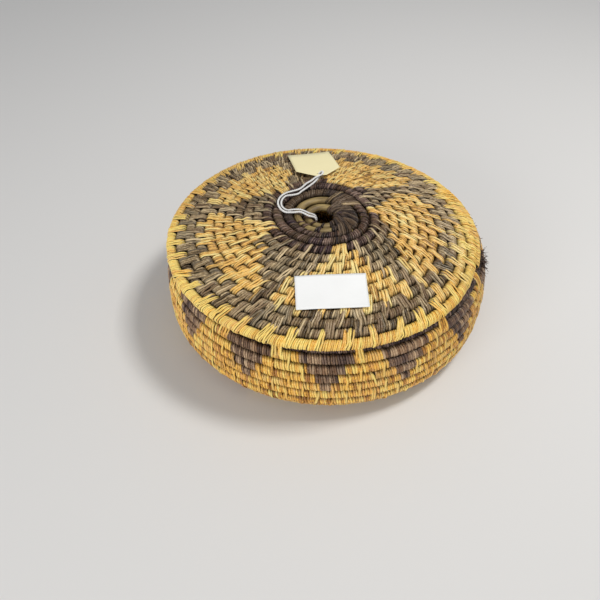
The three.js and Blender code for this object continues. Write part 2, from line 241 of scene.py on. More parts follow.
class Spiral:
    """One coil laid in a spiral on a profile, with level rows towards its rim."""

    def __init__(
        self, profile: Profile, level_from: float, end_angle: float, centre: Place
    ) -> None:
        """Lay out the rows.

        Args:
            profile: The line that the rows follow.
            level_from: Arc length on the profile from which the rows are level; 0 if all of them
                are, from a first ring round the hole.
            end_angle: Angle in degrees where the last row has done its climbing.
            centre: The axis and height that the profile is measured from.
        """
        self.profile = profile
        self.level_from = level_from
        self.level_turn = level_from / COIL_PITCH
        self.last_turn = self.level_turn + (profile.length - level_from) / COIL_PITCH
        self.end_turn = self.last_turn + LEVEL_SHARE * TAPER_SHARE
        rows = math.floor(profile.length / COIL_PITCH) + 1 - LEVEL_SHARE
        self.first_turn = START_TURN if level_from else self.last_turn - rows
        self.start_turn = self.first_turn - (0 if level_from else LEVEL_SHARE * TAPER_SHARE)
        self.end_angle = end_angle + 360 * LEVEL_SHARE
        self.centre = np.array(centre)

    def lag(self, turn: Array) -> Array:
        """Return how many turns a row lags behind a level one.

        Args:
            turn: Numbers of turns.

        Returns:
            The lag of each, in turns.
        """
        behind = (self.last_turn - turn) % 1
        climb = smooth((1 - behind) / LEVEL_SHARE, 0, 1)
        return np.where(behind <= 1 - LEVEL_SHARE, behind, (1 - LEVEL_SHARE) * climb)

    def along(self, turn: Array) -> Array:
        """Return the arc length on the profile at a number of turns.

        Args:
            turn: Numbers of turns.

        Returns:
            The arc lengths.
        """
        rows = self.last_turn - self.lag(turn)
        if not self.level_from:
            return self.profile.length - COIL_PITCH * (rows - turn)
        share = (turn - self.level_turn) / (rows - self.level_turn)
        level = self.level_from + (self.profile.length - self.level_from) * share
        return np.where(turn <= self.level_turn, turn * COIL_PITCH, level)

    def row(self, turn: Array) -> Array:
        """Return the row, counted from 1 at the rim."""
        return 1 + np.floor(self.last_turn - turn)

    def degrees(self, turn: Array) -> Array:
        """Return the angle round the basket at a number of turns, in degrees."""
        return self.end_angle + 360 * (self.last_turn - turn)

    def station(self, turn: Array) -> tuple[Array, Array]:
        """Return the arc length of the coil's middle and the coil's width.

        Args:
            turn: Numbers of turns.

        Returns:
            Arc lengths and widths.
        """
        below = self.along(turn - 1) + COIL_PITCH / 2
        top = self.profile.length + COIL_WIDTH / 2
        last = np.maximum(top - below - COIL_GAP / 2, COIL_GAP)
        bottom = self.along(np.full_like(turn, self.first_turn)) - COIL_WIDTH / 2
        above = self.along(turn + 1) - COIL_PITCH / 2
        first = np.maximum(above - COIL_GAP / 2 - bottom, COIL_GAP)
        past, before = turn > self.last_turn, turn < self.first_turn
        middle = np.select([past, before], [top - last / 2, bottom + first / 2], self.along(turn))
        return middle, np.select([past, before], [last, first], COIL_WIDTH)

    def radius(self, turn: Array) -> Array:
        """Return the coil's distance from the axis."""
        return self.profile.point(self.station(turn)[0])[..., 0]

    def spot(self, turn: Array, along: Array, out: Array, shift: Array) -> Array:
        """Return places in space beside the middle of the coil.

        Args:
            turn: Number of turns.
            along: Distance across the coil, towards the rim, on a coil of full width.
            out: Distance out from the coil's middle, on a coil of full width.
            shift: Distance round the basket, towards larger angles.

        Returns:
            The places.
        """
        s, width = self.station(turn)
        thin = width / COIL_WIDTH
        flat = self.profile.beside(s, along * thin, out * np.sqrt(thin))
        return self.in_space(flat, turn, shift)

    def in_space(self, flat: Array, turn: Array, shift: Array) -> Array:
        """Return places in space from radius and height, at an angle given by turn and shift.

        Args:
            flat: Radius and height.
            turn: Numbers of turns, which give the angle.
            shift: Distance round the basket from there.

        Returns:
            The places.
        """
        angle = np.radians(self.degrees(turn)) + shift / np.maximum(flat[..., 0], COIL_PITCH / 2)
        x, y = np.sin(angle) * flat[..., 0], -np.cos(angle) * flat[..., 0]
        return np.stack([x, y, flat[..., 1]], axis=-1) + self.centre

    def crevice_shade(self, turn: Array, across: Array) -> Array:
        """Return how much painted crevice shade there is: none outside the last row and inside the
        first.

        Args:
            turn: Numbers of turns.
            across: Places across the coil, positive towards the rim.

        Returns:
            1 where a row lies beside the coil, and 0 where none does.
        """
        outside = (across > 0) & (turn > self.last_turn - 1)
        inside = (across < 0) & (turn < self.first_turn + 1) & (self.level_from == 0)
        return 1.0 - (outside | inside)

    def round_axis(self, turn: Array, shift: Array) -> Array:
        """Return the direction round the basket, towards larger angles."""
        angle = np.radians(self.degrees(turn)) + shift / self.radius(turn)
        return np.stack([np.cos(angle), np.sin(angle), np.zeros_like(angle)], axis=-1)

    def spaced(self, start: float, end: float, step: Gauge, jitter: Array) -> Array:
        """Return turns at given distances along the coil.

        Args:
            start: First turn.
            end: Last turn.
            step: Distance between two of them, by turn.
            jitter: Factors for the distances, used in order and then again.

        Returns:
            The turns.
        """
        fine = np.linspace(start, end, int((end - start) * TURN_STEPS) + 2)
        paces = np.diff(fine) * 2 * math.pi * self.radius(fine[1:]) / step(fine[1:])
        gone = np.concatenate([[0], np.cumsum(paces)])
        places = np.cumsum(np.resize(jitter, int(gone[-1] / jitter.min()) + 1))
        return np.interp(places[places < gone[-1]], gone, fine)


class Collar(Spiral):
    """The short wall under the lid, with level rows counted downwards."""

    def __init__(self, radius: float, top: float, centre: Place) -> None:
        """Lay out the rows.

        Args:
            radius: Distance of the coil's middle from the axis.
            top: Height of the first row's upper side.
            centre: The axis and height that both are measured from.
        """
        span = COLLAR_ROWS * COIL_PITCH
        down = np.linspace(0, span, PROFILE_STEPS + 1)
        line = np.stack([np.full_like(down, radius), top - COIL_WIDTH / 2 - down], axis=-1)
        super().__init__(Profile(line, -1), 0, COLLAR_END_ANGLE, centre)
        self.last_turn = COLLAR_ROWS - LEVEL_SHARE
        self.end_turn = self.last_turn
        self.first_turn = self.start_turn = 0.0

    def along(self, turn: Array) -> Array:
        """Return the distance down from the first row.

        Args:
            turn: Numbers of turns.

        Returns:
            The distances.
        """
        row = np.clip(np.floor(turn), 0, COLLAR_ROWS - 1)
        climb = smooth(turn - row, 1 - LEVEL_SHARE, 1)
        return np.where(row + 1 < COLLAR_ROWS, row + climb, row) * COIL_PITCH

    def degrees(self, turn: Array) -> Array:
        """Return the angle round the basket at a number of turns, in degrees."""
        return COLLAR_END_ANGLE - 360 * turn

    def station(self, turn: Array) -> tuple[Array, Array]:
        """Return the distance down and the coil's width."""
        return self.along(turn), np.full_like(turn, COIL_WIDTH)


@dataclass
class Sweep:
    """Closed bands of one kind, swept along their paths.

    Attributes:
        path: Places, by strand and station.
        normal: Outward directions, by strand and station.
        section: Side and outward offsets, by strand, station and corner, anticlockwise.
        loop: If the last station joins the first.
        tone, hue: Two numbers from 0 to 1 for each strand.
        depth: How deep each station lies in a crevice, from 0 to 1, which sets the painted shade
            there.
    """

    path: Array
    normal: Array
    section: Array
    loop: bool
    tone: Array
    hue: Array
    depth: Array

    @classmethod
    def even(cls, path: Array, normal: Array, section: Array, loop: bool, tone: Array) -> "Sweep":
        """Return bands of one hue that lie in no crevice, so carry no painted shade.

        Args:
            path: Places, by strand and station.
            normal: Outward directions, by strand and station.
            section: Offsets, by strand, station and corner.
            loop: If the last station joins the first.
            tone: Tone of each strand.

        Returns:
            The bands.
        """
        return cls(path, normal, section, loop, tone, np.zeros(len(path)), np.zeros(path.shape[:2]))

    def some(self, which: Array | slice) -> "Sweep":
        """Return some of the strands."""
        names = ("path", "normal", "section", "tone", "hue", "depth")
        return replace(self, **{name: getattr(self, name)[which] for name in names})

    def triangles(self) -> int:
        """Return the number of triangles of one strand."""
        return 2 * self.section.shape[1] * self.section.shape[2]

    def corners(self) -> Array:
        """Return the mesh's points, by strand, station and corner.

        Returns:
            The points.
        """
        if self.loop:
            ahead = np.roll(self.path, -1, axis=1) - np.roll(self.path, 1, axis=1)
        else:
            ahead = np.gradient(self.path, axis=1)
        tangent = unit(ahead)
        side = unit(np.cross(tangent, self.normal))
        up = np.cross(side, tangent)
        across, out = self.section[..., 0:1], self.section[..., 1:2]
        return self.path[:, :, None] + side[:, :, None] * across + up[:, :, None] * out

    def faces(self) -> tuple[Array, Array]:
        """Return the four-sided faces and where their corners lie in the strand's own map.

        Returns:
            The points of each face, and their places by face and corner.
        """
        strands, stations, sides = self.section.shape[:3]
        bands = stations if self.loop else stations - 1
        i, j = np.indices((bands, sides)).reshape(2, -1)
        steps = ((0, 0), (1, 0), (1, 1), (0, 1))
        one = np.stack([(i + a) % stations * sides + (j + b) % sides for a, b in steps], axis=-1)
        place = np.stack([np.stack([i + a, j + b], axis=-1) for a, b in steps], axis=1)
        place = place / [bands, sides]
        if not self.loop:
            k = np.arange(sides // 2 - 1)
            lid = np.stack([k, k + 1, sides - k - 2, sides - k - 1], axis=-1)
            end = lid[:, ::-1] + (stations - 1) * sides
            one = np.vstack([one, lid, end])
            ends = np.repeat([0.0, 1.0], len(k))[:, None, None] * [1.0, 0.0]
            place = np.concatenate([place, np.broadcast_to(ends, (2 * len(k), 4, 2))])
        offsets = np.arange(strands)[:, None, None] * stations * sides
        return (one + offsets).reshape(-1, 4), np.tile(place, (strands, 1, 1))


def mesh_object(name: str, points: Array, quads: Array, finish: "Finish") -> bpy.types.Object:
    """Return a smooth object made of four-sided faces, in the given finish.

    Args:
        name: Its name.
        points: Its points.
        quads: The points of each face.
        finish: The finish.

    Returns:
        The object.
    """
    mesh = bpy.data.meshes.new(name)
    mesh.vertices.add(len(points))
    mesh.loops.add(quads.size)
    mesh.polygons.add(len(quads))
    mesh.vertices.foreach_set("co", points.astype(np.float32).ravel())
    mesh.loops.foreach_set("vertex_index", quads.astype(np.int32).ravel())
    mesh.polygons.foreach_set("loop_start", np.arange(0, quads.size, 4, dtype=np.int32))
    mesh.polygons.foreach_set("use_smooth", np.ones(len(quads), dtype=bool))
    mesh.update(calc_edges=True)
    mesh.materials.append(finish.material())
    thing = bpy.data.objects.new(name, mesh)
    bpy.context.scene.collection.objects.link(thing)
    return thing


def give_numbers(thing: bpy.types.Object, name: str, values: Array) -> None:
    """Store three numbers at each point of a mesh for its material."""
    attribute = thing.data.attributes.new(name, "FLOAT_VECTOR", "POINT")
    attribute.data.foreach_set("vector", values.astype(np.float32).ravel())


def give_map(thing: bpy.types.Object, place: Array, shape: float) -> None:
    """Lay the strands' own maps side by side in one square map.

    Args:
        thing: The mesh object, whose faces come strand by strand.
        place: Corners of each face in its strand's map, by strand, face and corner.
        shape: Length of a strand over the distance round it.
    """
    strands = len(place)
    columns = max(1, round(math.sqrt(strands / shape)))
    rows = math.ceil(strands / columns)
    cell = np.stack([np.arange(strands) % columns, np.arange(strands) // columns], axis=-1)
    inside = MAP_MARGIN + (1 - 2 * MAP_MARGIN) * place
    spread = (cell[:, None, None] + inside) / [columns, rows]
    layer = thing.data.uv_layers.new(name="OFBake")
    layer.uv.foreach_set("vector", spread.astype(np.float32).ravel())


def weave(name: str, sweep: Sweep, finish: "Finish", body: str, nodes: tuple[str, ...]) -> None:
    """Make the pieces of a sweep, ride them on a body and let them stand for its nodes.

    Args:
        name: Name of the piece; further pieces get a number.
        sweep: The bands.
        finish: Their finish.
        body: The body that they ride on.
        nodes: The nodes that they stand for.
    """
    most = MOST_TRIANGLES // sweep.triangles()
    count = math.ceil(len(sweep.path) / most)
    cuts = np.linspace(0, len(sweep.path), count + 1).astype(int)
    for number, (first, last) in enumerate(zip(cuts, cuts[1:])):
        some = sweep.some(slice(first, last))
        corners = some.corners()
        quads, place = some.faces()
        title = name if number == 0 else f"{name}_{number + 1}"
        thing = mesh_object(title, corners.reshape(-1, 3), quads, finish)
        strands, stations, sides = corners.shape[:3]
        steps = np.linalg.norm(np.diff(some.path, axis=1), axis=2)
        gone = np.concatenate([np.zeros((strands, 1)), np.cumsum(steps, axis=1)], axis=1)
        width = np.ptp(some.section[..., 0], axis=2)[..., None]
        across = 2 * some.section[..., 0] / np.maximum(width, 1e-6)
        tone, hue = some.tone[:, None, None], some.hue[:, None, None]
        grain = tone * GRAIN_SHIFT[0] + hue * GRAIN_SHIFT[1]
        lay = np.broadcast_arrays(across, gone[..., None] * PER_METRE, grain)
        # look holds tone, hue and depth; the depth sets the painted shade of the crevices
        look = np.broadcast_arrays(tone, hue, some.depth[..., None], across)[:3]
        give_numbers(thing, "lay", np.stack(lay, axis=-1))
        give_numbers(thing, "look", np.stack(look, axis=-1))
        shape = float(gone[:, -1].mean()) / (GIRTH * width.mean())
        give_map(thing, place.reshape(strands, -1, 4, 2), max(shape, 0.2))
        settle(thing, body, nodes)


def settle(thing: bpy.types.Object, body: str, nodes: tuple[str, ...]) -> None:
    """Ride a piece on its body and the nodes it stands for, and report it.

    Args:
        thing: The piece.
        body: The body that it rides on.
        nodes: The nodes that it stands for.
    """
    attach(thing, body)
    if nodes:
        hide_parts(*nodes)
    log.info("%s: %d faces on %s", thing.name, len(thing.data.polygons), body)


class Value:
    """A number in a material, which adds Math nodes where it is used in an expression."""

    def __init__(self, sheet: "Sheet", socket: bpy.types.NodeSocket) -> None:
        """Keep the material's nodes and the socket that gives the number."""
        self.sheet = sheet
        self.socket = socket

    def math(self, operation: str, *others: "Value | float") -> "Value":
        """Return the result of a Math node on this value and others.

        Args:
            operation: The node's operation.
            others: Its further inputs.

        Returns:
            The result.
        """
        inputs = dict(enumerate([self, *others]))
        node = self.sheet.add("ShaderNodeMath", {"operation": operation}, inputs)
        return Value(self.sheet, node.outputs[0])

    def turned(self, operation: str, other: "Value | float") -> "Value":
        """Return the result of a Math node with this value in second place."""
        node = self.sheet.add("ShaderNodeMath", {"operation": operation}, {0: other, 1: self})
        return Value(self.sheet, node.outputs[0])

    def __add__(self, other: "Value | float") -> "Value":
        """Return the sum."""
        return self.math("ADD", other)

    __radd__ = __add__

    def __sub__(self, other: "Value | float") -> "Value":
        """Return the difference."""
        return self.math("SUBTRACT", other)

    def __rsub__(self, other: float) -> "Value":
        """Return the difference with a number in first place."""
        return self.turned("SUBTRACT", other)

    def __mul__(self, other: "Value | float") -> "Value":
        """Return the product."""
        return self.math("MULTIPLY", other)

    __rmul__ = __mul__

    def step(self, low: float, high: float) -> "Value":
        """Return a smooth step from 0 at low to 1 at high.

        Args:
            low: Where it begins.
            high: Where it ends.

        Returns:
            The step.
        """
        settings = {"interpolation_type": "SMOOTHSTEP"}
        inputs = {"Value": self, "From Min": low, "From Max": high}
        node = self.sheet.add("ShaderNodeMapRange", settings, inputs)
        return Value(self.sheet, node.outputs["Result"])


class Sheet:
    """The nodes of one material."""

    def __init__(self, name: str) -> None:
        """Start an empty material.

        Args:
            name: Its name.
        """
        self.material = bpy.data.materials.new(name)
        self.material.use_nodes = True
        self.tree = self.material.node_tree
        self.tree.nodes.clear()

    def add(
        self, kind: str, settings: dict | None = None, inputs: dict | None = None
    ) -> bpy.types.Node:
        """Add a node.

        Args:
            kind: The node's type.
            settings: Its properties, and under "stops" a ramp's places and colours.
            inputs: Values or links of its sockets, by name or number.

        Returns:
            The node.
        """
        node = self.tree.nodes.new(kind)
        for name, value in (settings or {}).items():
            if name == "stops":
                ramp = node.color_ramp
                while len(ramp.elements) < len(value):
                    ramp.elements.new(0.5)
                for element, (place, colour) in zip(ramp.elements, value):
                    element.position = place
                    element.color = (*colour, 1)
            else:
                setattr(node, name, value)
        for name, value in (inputs or {}).items():
            socket = node.inputs[name]
            if isinstance(value, Value):
                self.tree.links.new(value.socket, socket)
            elif isinstance(value, bpy.types.NodeSocket):
                self.tree.links.new(value, socket)
            elif isinstance(value, tuple) and len(socket.default_value) == 4 and len(value) == 3:
                socket.default_value = (*value, 1)
            else:
                socket.default_value = value
        return node

    def numbers(self, name: str) -> tuple[bpy.types.NodeSocket, list[Value]]:
        """Return a stored vector of the mesh, whole and as three values.

        Args:
            name: Name of the vector.

        Returns:
            The vector and its three numbers.
        """
        settings = {"attribute_type": "GEOMETRY", "attribute_name": name}
        vector = self.add("ShaderNodeAttribute", settings).outputs["Vector"]
        parts = self.add("ShaderNodeSeparateXYZ", None, {0: vector})
        return vector, [Value(self, socket) for socket in parts.outputs]

    def mix(self, factor: Value | float, a: Paint, b: Paint) -> bpy.types.NodeSocket:
        """Return the mix of two colours.

        Args:
            factor: Share of the second colour.
            a: First colour.
            b: Second colour.

        Returns:
            The mixed colour.
        """
        settings = {"data_type": "RGBA"}
        node = self.add("ShaderNodeMix", settings, {0: factor, 6: a, 7: b})
        return node.outputs[2]

    def darker(self, factor: Value, colour: bpy.types.NodeSocket) -> bpy.types.NodeSocket:
        """Return a colour multiplied by a value."""
        inputs = {0: colour, "Scale": factor}
        return self.add("ShaderNodeVectorMath", {"operation": "SCALE"}, inputs).outputs[0]

    def grain(self, lay: bpy.types.NodeSocket, waves: Place, detail: float) -> Value:
        """Return a noise that runs along the strands."""
        return self.noise(self.stretched(lay, waves), 1.0, detail)

    def noise(self, vector: bpy.types.NodeSocket, scale: float, detail: float) -> Value:
        """Return a noise over a vector."""
        inputs = {"Vector": vector, "Scale": scale, "Detail": detail}
        return Value(self, self.add("ShaderNodeTexNoise", None, inputs).outputs[0])

    def stretched(self, vector: bpy.types.NodeSocket, scale: Place) -> bpy.types.NodeSocket:
        """Return a vector multiplied by another."""
        node = self.add("ShaderNodeVectorMath", {"operation": "MULTIPLY"}, {0: vector, 1: scale})
        return node.outputs[0]

    def place(self) -> bpy.types.NodeSocket:
        """Return the place on the object, in metres."""
        return self.add("ShaderNodeTexCoord").outputs["Object"]

    def surface(
        self,
        colour: Paint,
        roughness: Value | float,
        height: Value,
        depth: float,
        sockets: dict | None = None,
    ) -> bpy.types.Material:
        """Finish the material.

        Args:
            colour: Base colour.
            roughness: Roughness.
            height: Relief from 0 to 1.
            depth: Depth of the relief.
            sockets: Constants for further sockets of the shader.

        Returns:
            The material.
        """
        relief = {"Height": height, "Distance": depth, "Strength": 1.0}
        normal = self.add("ShaderNodeBump", None, relief).outputs[0]
        inputs = {"Base Color": colour, "Roughness": roughness, "Normal": normal}
        shader = self.add("ShaderNodeBsdfPrincipled", None, {**inputs, **(sockets or {})})
        self.add("ShaderNodeOutputMaterial", None, {"Surface": shader.outputs[0]})
        return self.material


# Grain of the materials, in waves across, along and between strands
STREAK_GRAIN = (3.4, 0.16, 1.0)
FLECK_GRAIN = (0.8, 0.9, 1.0)
STEM_GRAIN = (3.0, 0.06, 1.0)
FIBRE_GRAIN = (2.2, 1.1, 1.0)

# What makes a strand light, how much of each, and what is taken off their sum
TONE_SHARE, STREAK_SHARE, FLECK_SHARE, STAIN_SHARE = 1.1, 1.1, 0.9, 0.4
LIGHT_OFF = 1.35


@dataclass(frozen=True)
class Finish:
    """A finish, made once and shared by its pieces.

    Attributes:
        name: Name of the material.
        slot: The record's material slot; not used.
    """

    name: str
    slot: str

    def material(self) -> bpy.types.Material:
        """Return the material, made at its first use."""
        return bpy.data.materials.get(self.name) or self.make(Sheet(self.name))

    def make(self, sheet: Sheet) -> bpy.types.Material:
        """Add the nodes of the material."""
        raise NotImplementedError


@dataclass(frozen=True)
class StrandFinish(Finish):
    """Split plant fibre, with streaks along each strand and its own tone.

    Attributes:
        deep, middle, pale: The fibre's colours from shade to light.
        warm, cool: Colours that single strands lean to.
        tint: How far they lean.
        crevice: What is left of the colour in the painted shade deep between two rows.
        edge: How much painted shade darkens a strand's sides.
        gloss: How strongly it reflects.
    """

    deep: Colour
    middle: Colour
    pale: Colour
    warm: Colour
    cool: Colour
    tint: float
    crevice: float
    edge: float
    gloss: float = 0.5

    def make(self, sheet: Sheet) -> bpy.types.Material:
        """Add the nodes of the material.

        Args:
            sheet: The material's nodes.

        Returns:
            The material.
        """
        lay, (across, _, _) = sheet.numbers("lay")
        _, (tone, hue, depth) = sheet.numbers("look")
        streak = sheet.grain(lay, STREAK_GRAIN, detail=4.0)
        fleck = sheet.grain(lay, FLECK_GRAIN, detail=2.0)
        stain = sheet.noise(sheet.place(), scale=48.0, detail=2.0)
        light = tone * TONE_SHARE + streak * STREAK_SHARE + fleck * FLECK_SHARE
        light = light + stain * STAIN_SHARE - LIGHT_OFF
        shade = sheet.mix(light.step(low=-0.1, high=0.42), self.deep, self.middle)
        shade = sheet.mix(light.step(low=0.30, high=0.90), shade, self.pale)
        shade = sheet.mix(hue.step(low=0.60, high=1.0) * self.tint, shade, self.warm)
        shade = sheet.mix((1 - hue).step(low=0.64, high=1.0) * self.tint, shade, self.cool)
        # Painted shade: each strand darker at its sides, and darker deep in the crevices between
        # rows
        edge = 1 - across.math("ABSOLUTE").step(low=0.45, high=1.05) * self.edge
        shade = sheet.darker(edge * (1 - depth * (1 - self.crevice)), shade)
        roughness = 0.46 - streak * 0.26
        sockets = {"Specular IOR Level": self.gloss}
        return sheet.surface(shade, roughness, streak, depth=0.00026, sockets=sockets)


@dataclass(frozen=True)
class BundleFinish(Finish):
    """A bundle of grass stems: tan where it lies bare, and dark inside the sewing as painted shade.

    Attributes:
        bare, old: Colours of the bare stems.
        crevice_shade: Colour inside the sewing, a painted shade.
    """

    bare: Colour
    old: Colour
    crevice_shade: Colour

    def make(self, sheet: Sheet) -> bpy.types.Material:
        """Add the nodes of the material.

        Args:
            sheet: The material's nodes.

        Returns:
            The material.
        """
        lay, _ = sheet.numbers("lay")
        _, (bare, _, depth) = sheet.numbers("look")
        stems = sheet.grain(lay, STEM_GRAIN, detail=3.0)
        blotch = sheet.noise(sheet.place(), scale=120.0, detail=3.0)
        fresh = (stems * 0.7 + blotch * 0.6).step(low=0.45, high=0.85)
        tan = sheet.mix(fresh, self.old, self.bare)
        # Painted shade: the sewn bundle takes the dark colour and is darkened further by depth; the
        # bare one is darkened a little
        colour = sheet.darker(1 - depth * 0.75, sheet.mix(bare, self.crevice_shade, tan))
        return sheet.surface(colour, 0.6 - stems * 0.15, stems, depth=0.0003)


@dataclass(frozen=True)
class PaperFinish(Finish):
    """Card or paper with a faint mottle and fibre.

    Attributes:
        colour: Its colour.
        aged: Its colour where it is handled.
        mottle: How much of the aged colour shows.
    """

    colour: Colour
    aged: Colour
    mottle: float

    def make(self, sheet: Sheet) -> bpy.types.Material:
        """Add the nodes of the material.

        Args:
            sheet: The material's nodes.

        Returns:
            The material.
        """
        place = sheet.place()
        cloud = sheet.noise(place, scale=90.0, detail=3.0)
        grain = sheet.noise(place, scale=2600.0, detail=2.0)
        share = (cloud * 0.7 + grain * 0.3).step(low=0.35, high=0.75) * self.mottle
        colour = sheet.mix(share, self.colour, self.aged)
        return sheet.surface(colour, 0.62 - grain * 0.12, grain, depth=0.00004)


@dataclass(frozen=True)
class CottonFinish(Finish):
    """Soft twisted cotton with fine fibres along each ply.

    Attributes:
        colour: Its colour.
        groove: Its colour between the plies.
    """

    colour: Colour
    groove: Colour

    def make(self, sheet: Sheet) -> bpy.types.Material:
        """Add the nodes of the material.

        Args:
            sheet: The material's nodes.

        Returns:
            The material.
        """
        lay, _ = sheet.numbers("lay")
        fibre = sheet.grain(lay, FIBRE_GRAIN, detail=4.0)
        colour = sheet.mix(fibre.step(low=0.3, high=0.6), self.groove, self.colour)
        return sheet.surface(colour, 0.85, fibre, depth=0.00012, sockets={"Sheen Weight": 0.3})


LIGHT_STRAW = StrandFinish(
    name="split straw light",
    slot="light_straw",
    deep=(0.300, 0.145, 0.034),
    middle=(0.980, 0.575, 0.138),
    pale=(1.000, 0.820, 0.340),
    warm=(0.820, 0.480, 0.150),
    cool=(0.580, 0.420, 0.150),
    tint=0.4,
    crevice=0.16,
    edge=0.36,
)
GOLD_STRAW = StrandFinish(
    name="split straw gold",
    slot="light_straw",
    deep=(0.380, 0.155, 0.026),
    middle=(1.000, 0.545, 0.088),
    pale=(1.000, 0.770, 0.220),
    warm=(0.820, 0.410, 0.140),
    cool=(0.780, 0.500, 0.150),
    tint=0.5,
    crevice=0.26,
    edge=0.2,
)
DARK_STRAW = StrandFinish(
    name="split straw dark",
    slot="dark_straw",
    deep=(0.070, 0.044, 0.021),
    middle=(0.270, 0.185, 0.092),
    pale=(0.720, 0.560, 0.330),
    warm=(0.230, 0.140, 0.080),
    cool=(0.170, 0.145, 0.100),
    tint=0.6,
    crevice=0.18,
    edge=0.42,
    gloss=0.4,
)
PLUM_STRAW = StrandFinish(
    name="split straw plum",
    slot="dark_straw",
    deep=(0.013, 0.006, 0.005),
    middle=(0.084, 0.048, 0.034),
    pale=(0.300, 0.205, 0.160),
    warm=(0.140, 0.074, 0.040),
    cool=(0.060, 0.034, 0.048),
    tint=0.6,
    crevice=0.2,
    edge=0.5,
    gloss=0.3,
)
WORN_STRAW = StrandFinish(
    name="split straw worn",
    slot="dark_straw",
    deep=(0.010, 0.006, 0.004),
    middle=(0.072, 0.046, 0.030),
    pale=(0.200, 0.142, 0.094),
    warm=(0.110, 0.064, 0.034),
    cool=(0.050, 0.036, 0.034),
    tint=0.6,
    crevice=0.2,
    edge=0.55,
    gloss=0.25,
)
BROWN_STRAW = StrandFinish(
    name="split straw brown",
    slot="dark_straw",
    deep=(0.045, 0.022, 0.015),
    middle=(0.230, 0.135, 0.080),
    pale=(0.620, 0.430, 0.260),
    warm=(0.260, 0.130, 0.060),
    cool=(0.120, 0.075, 0.065),
    tint=0.6,
    crevice=0.2,
    edge=0.4,
    gloss=0.35,
)
DYED = {
    Dye.LIGHT: LIGHT_STRAW,
    Dye.DARK: DARK_STRAW,
    Dye.PLUM: PLUM_STRAW,
    Dye.WORN: WORN_STRAW,
    Dye.GOLD: GOLD_STRAW,
    Dye.BROWN: BROWN_STRAW,
}
BUNDLE = BundleFinish(
    name="grass bundle",
    slot="bare_straw",
    bare=(0.500, 0.365, 0.140),
    old=(0.170, 0.110, 0.040),
    crevice_shade=(0.050, 0.032, 0.018),
)
MANILA = PaperFinish(
    name="manila card",
    slot="manila_card",
    colour=(0.980, 0.890, 0.540),
    aged=(0.940, 0.830, 0.470),
    mottle=0.35,
)
LABEL_PAPER = PaperFinish(
    name="white paper",
    slot="white_paper",
    colour=(0.860, 0.875, 0.885),
    aged=(0.790, 0.800, 0.800),
    mottle=0.3,
)
COTTON = CottonFinish(
    name="white cotton",
    slot="white_cotton",
    colour=(0.880, 0.880, 0.870),
    groove=(0.760, 0.760, 0.760),
)


# Sewing, sizes across and out from the middle of the coil
FIRST_WRAP = 0.02  # turns from the coil's start, on the lid
HALF_WIDTH = 0.00258
HALF_THICKNESS = 0.00218
ROUNDNESS = 2.4
STRAND_CROWN = 0.30  # of a strand's width
STRAND_BACK = 0.09
WRAP_STATIONS = 13
STITCH_STATIONS = 26
LOOSE_STATIONS = 8
BUNDLE_STATIONS = 96  # in a turn
BUNDLE_SIDES = 12
BUNDLE_SIZE = (0.9, 0.86)  # of the sewn coil's width and thickness
BUNDLE_POINT = (-0.02, 0.10)  # the turns over which the bundle grows to its size
BARE_DEPTH = 0.2  # painted shade on the bare bundle, where the sewn one has 1
STRAND_PACE = (0.8, 1.2)  # spread of the distance between two strands
PACES = 997  # draws of it, used over again
STRAND_LAP = (1.10, 1.34)  # a strand's width over its share of the coil
WIDTH_LIMITS = (0.75, 1.3)
BLOCK_PACE = (0.9, 1.1)  # spread of the distance between two blocks
BLOCK_BREADTH = (0.8, 1.2)  # spread of their breadth
LEAST_BLOCK = 0.99  # breadth of the narrowest block, in strands
BRICK_PULL = 0.8  # how far a block is drawn to the gap in the row before
BRICK_LIMIT = 0.28  # the most that it moves, of the distance between two
STITCH_FAN = (0.12, 0.22)  # mean and spread of how far a block's inner ends fan out
STITCH_HIGHLIGHT_AND_WEAR = 0.12  # how much paler the raised stitches are: painted highlight where they stand proud, and wear
STITCH_LEAN = 0.05  # spread of the lean in a block, in radians
WRAP_LEAN = (0.7, 3)  # the wraps' lean in that of the stitches, and its spread in degrees
CREVICE = (0.62, 1.0)  # where on the coil's section the painted shade of a crevice sets in
# spread of how dark that painted crevice shade is, wrap by wrap
CREVICE_DEPTH = (0.5, 1.0)
LENGTH_OF_FIBRE = 8  # strands that one split length makes
LEAST_LENGTH = 2
FIBRE_TONE = (0.5, 0.11)  # mean and spread from length to length
STRAND_TONE = 0.20  # spread from strand to strand
STRAND_HUE = 0.2
STATION_SPREAD = 0.035  # unevenness of a stitch's control points
SHIFT_SPREAD = 0.00018
OUTWARD = 1.2  # how far out the point lies that gives a strand's outward direction

# Loose ends: least and greatest place on the coil's outer half, direction and bend, how far they
# lean over the coil, how they rise, their tone and hue; and how much they taper
LOOSE_PLACE = (0.2, 0.8)
LOOSE_AWAY = (-1.1, 1.1)
LOOSE_BEND = (-0.8, 0.8)
LOOSE_TURN = 1.2
LOOSE_ASIDE = (0.2, 0.9)
LOOSE_RISE = (0.7, 1.6)
LOOSE_TONE = (0.2, 0.8)
LOOSE_HUE = (0.3, 0.7)
LOOSE_TAPER = 0.7

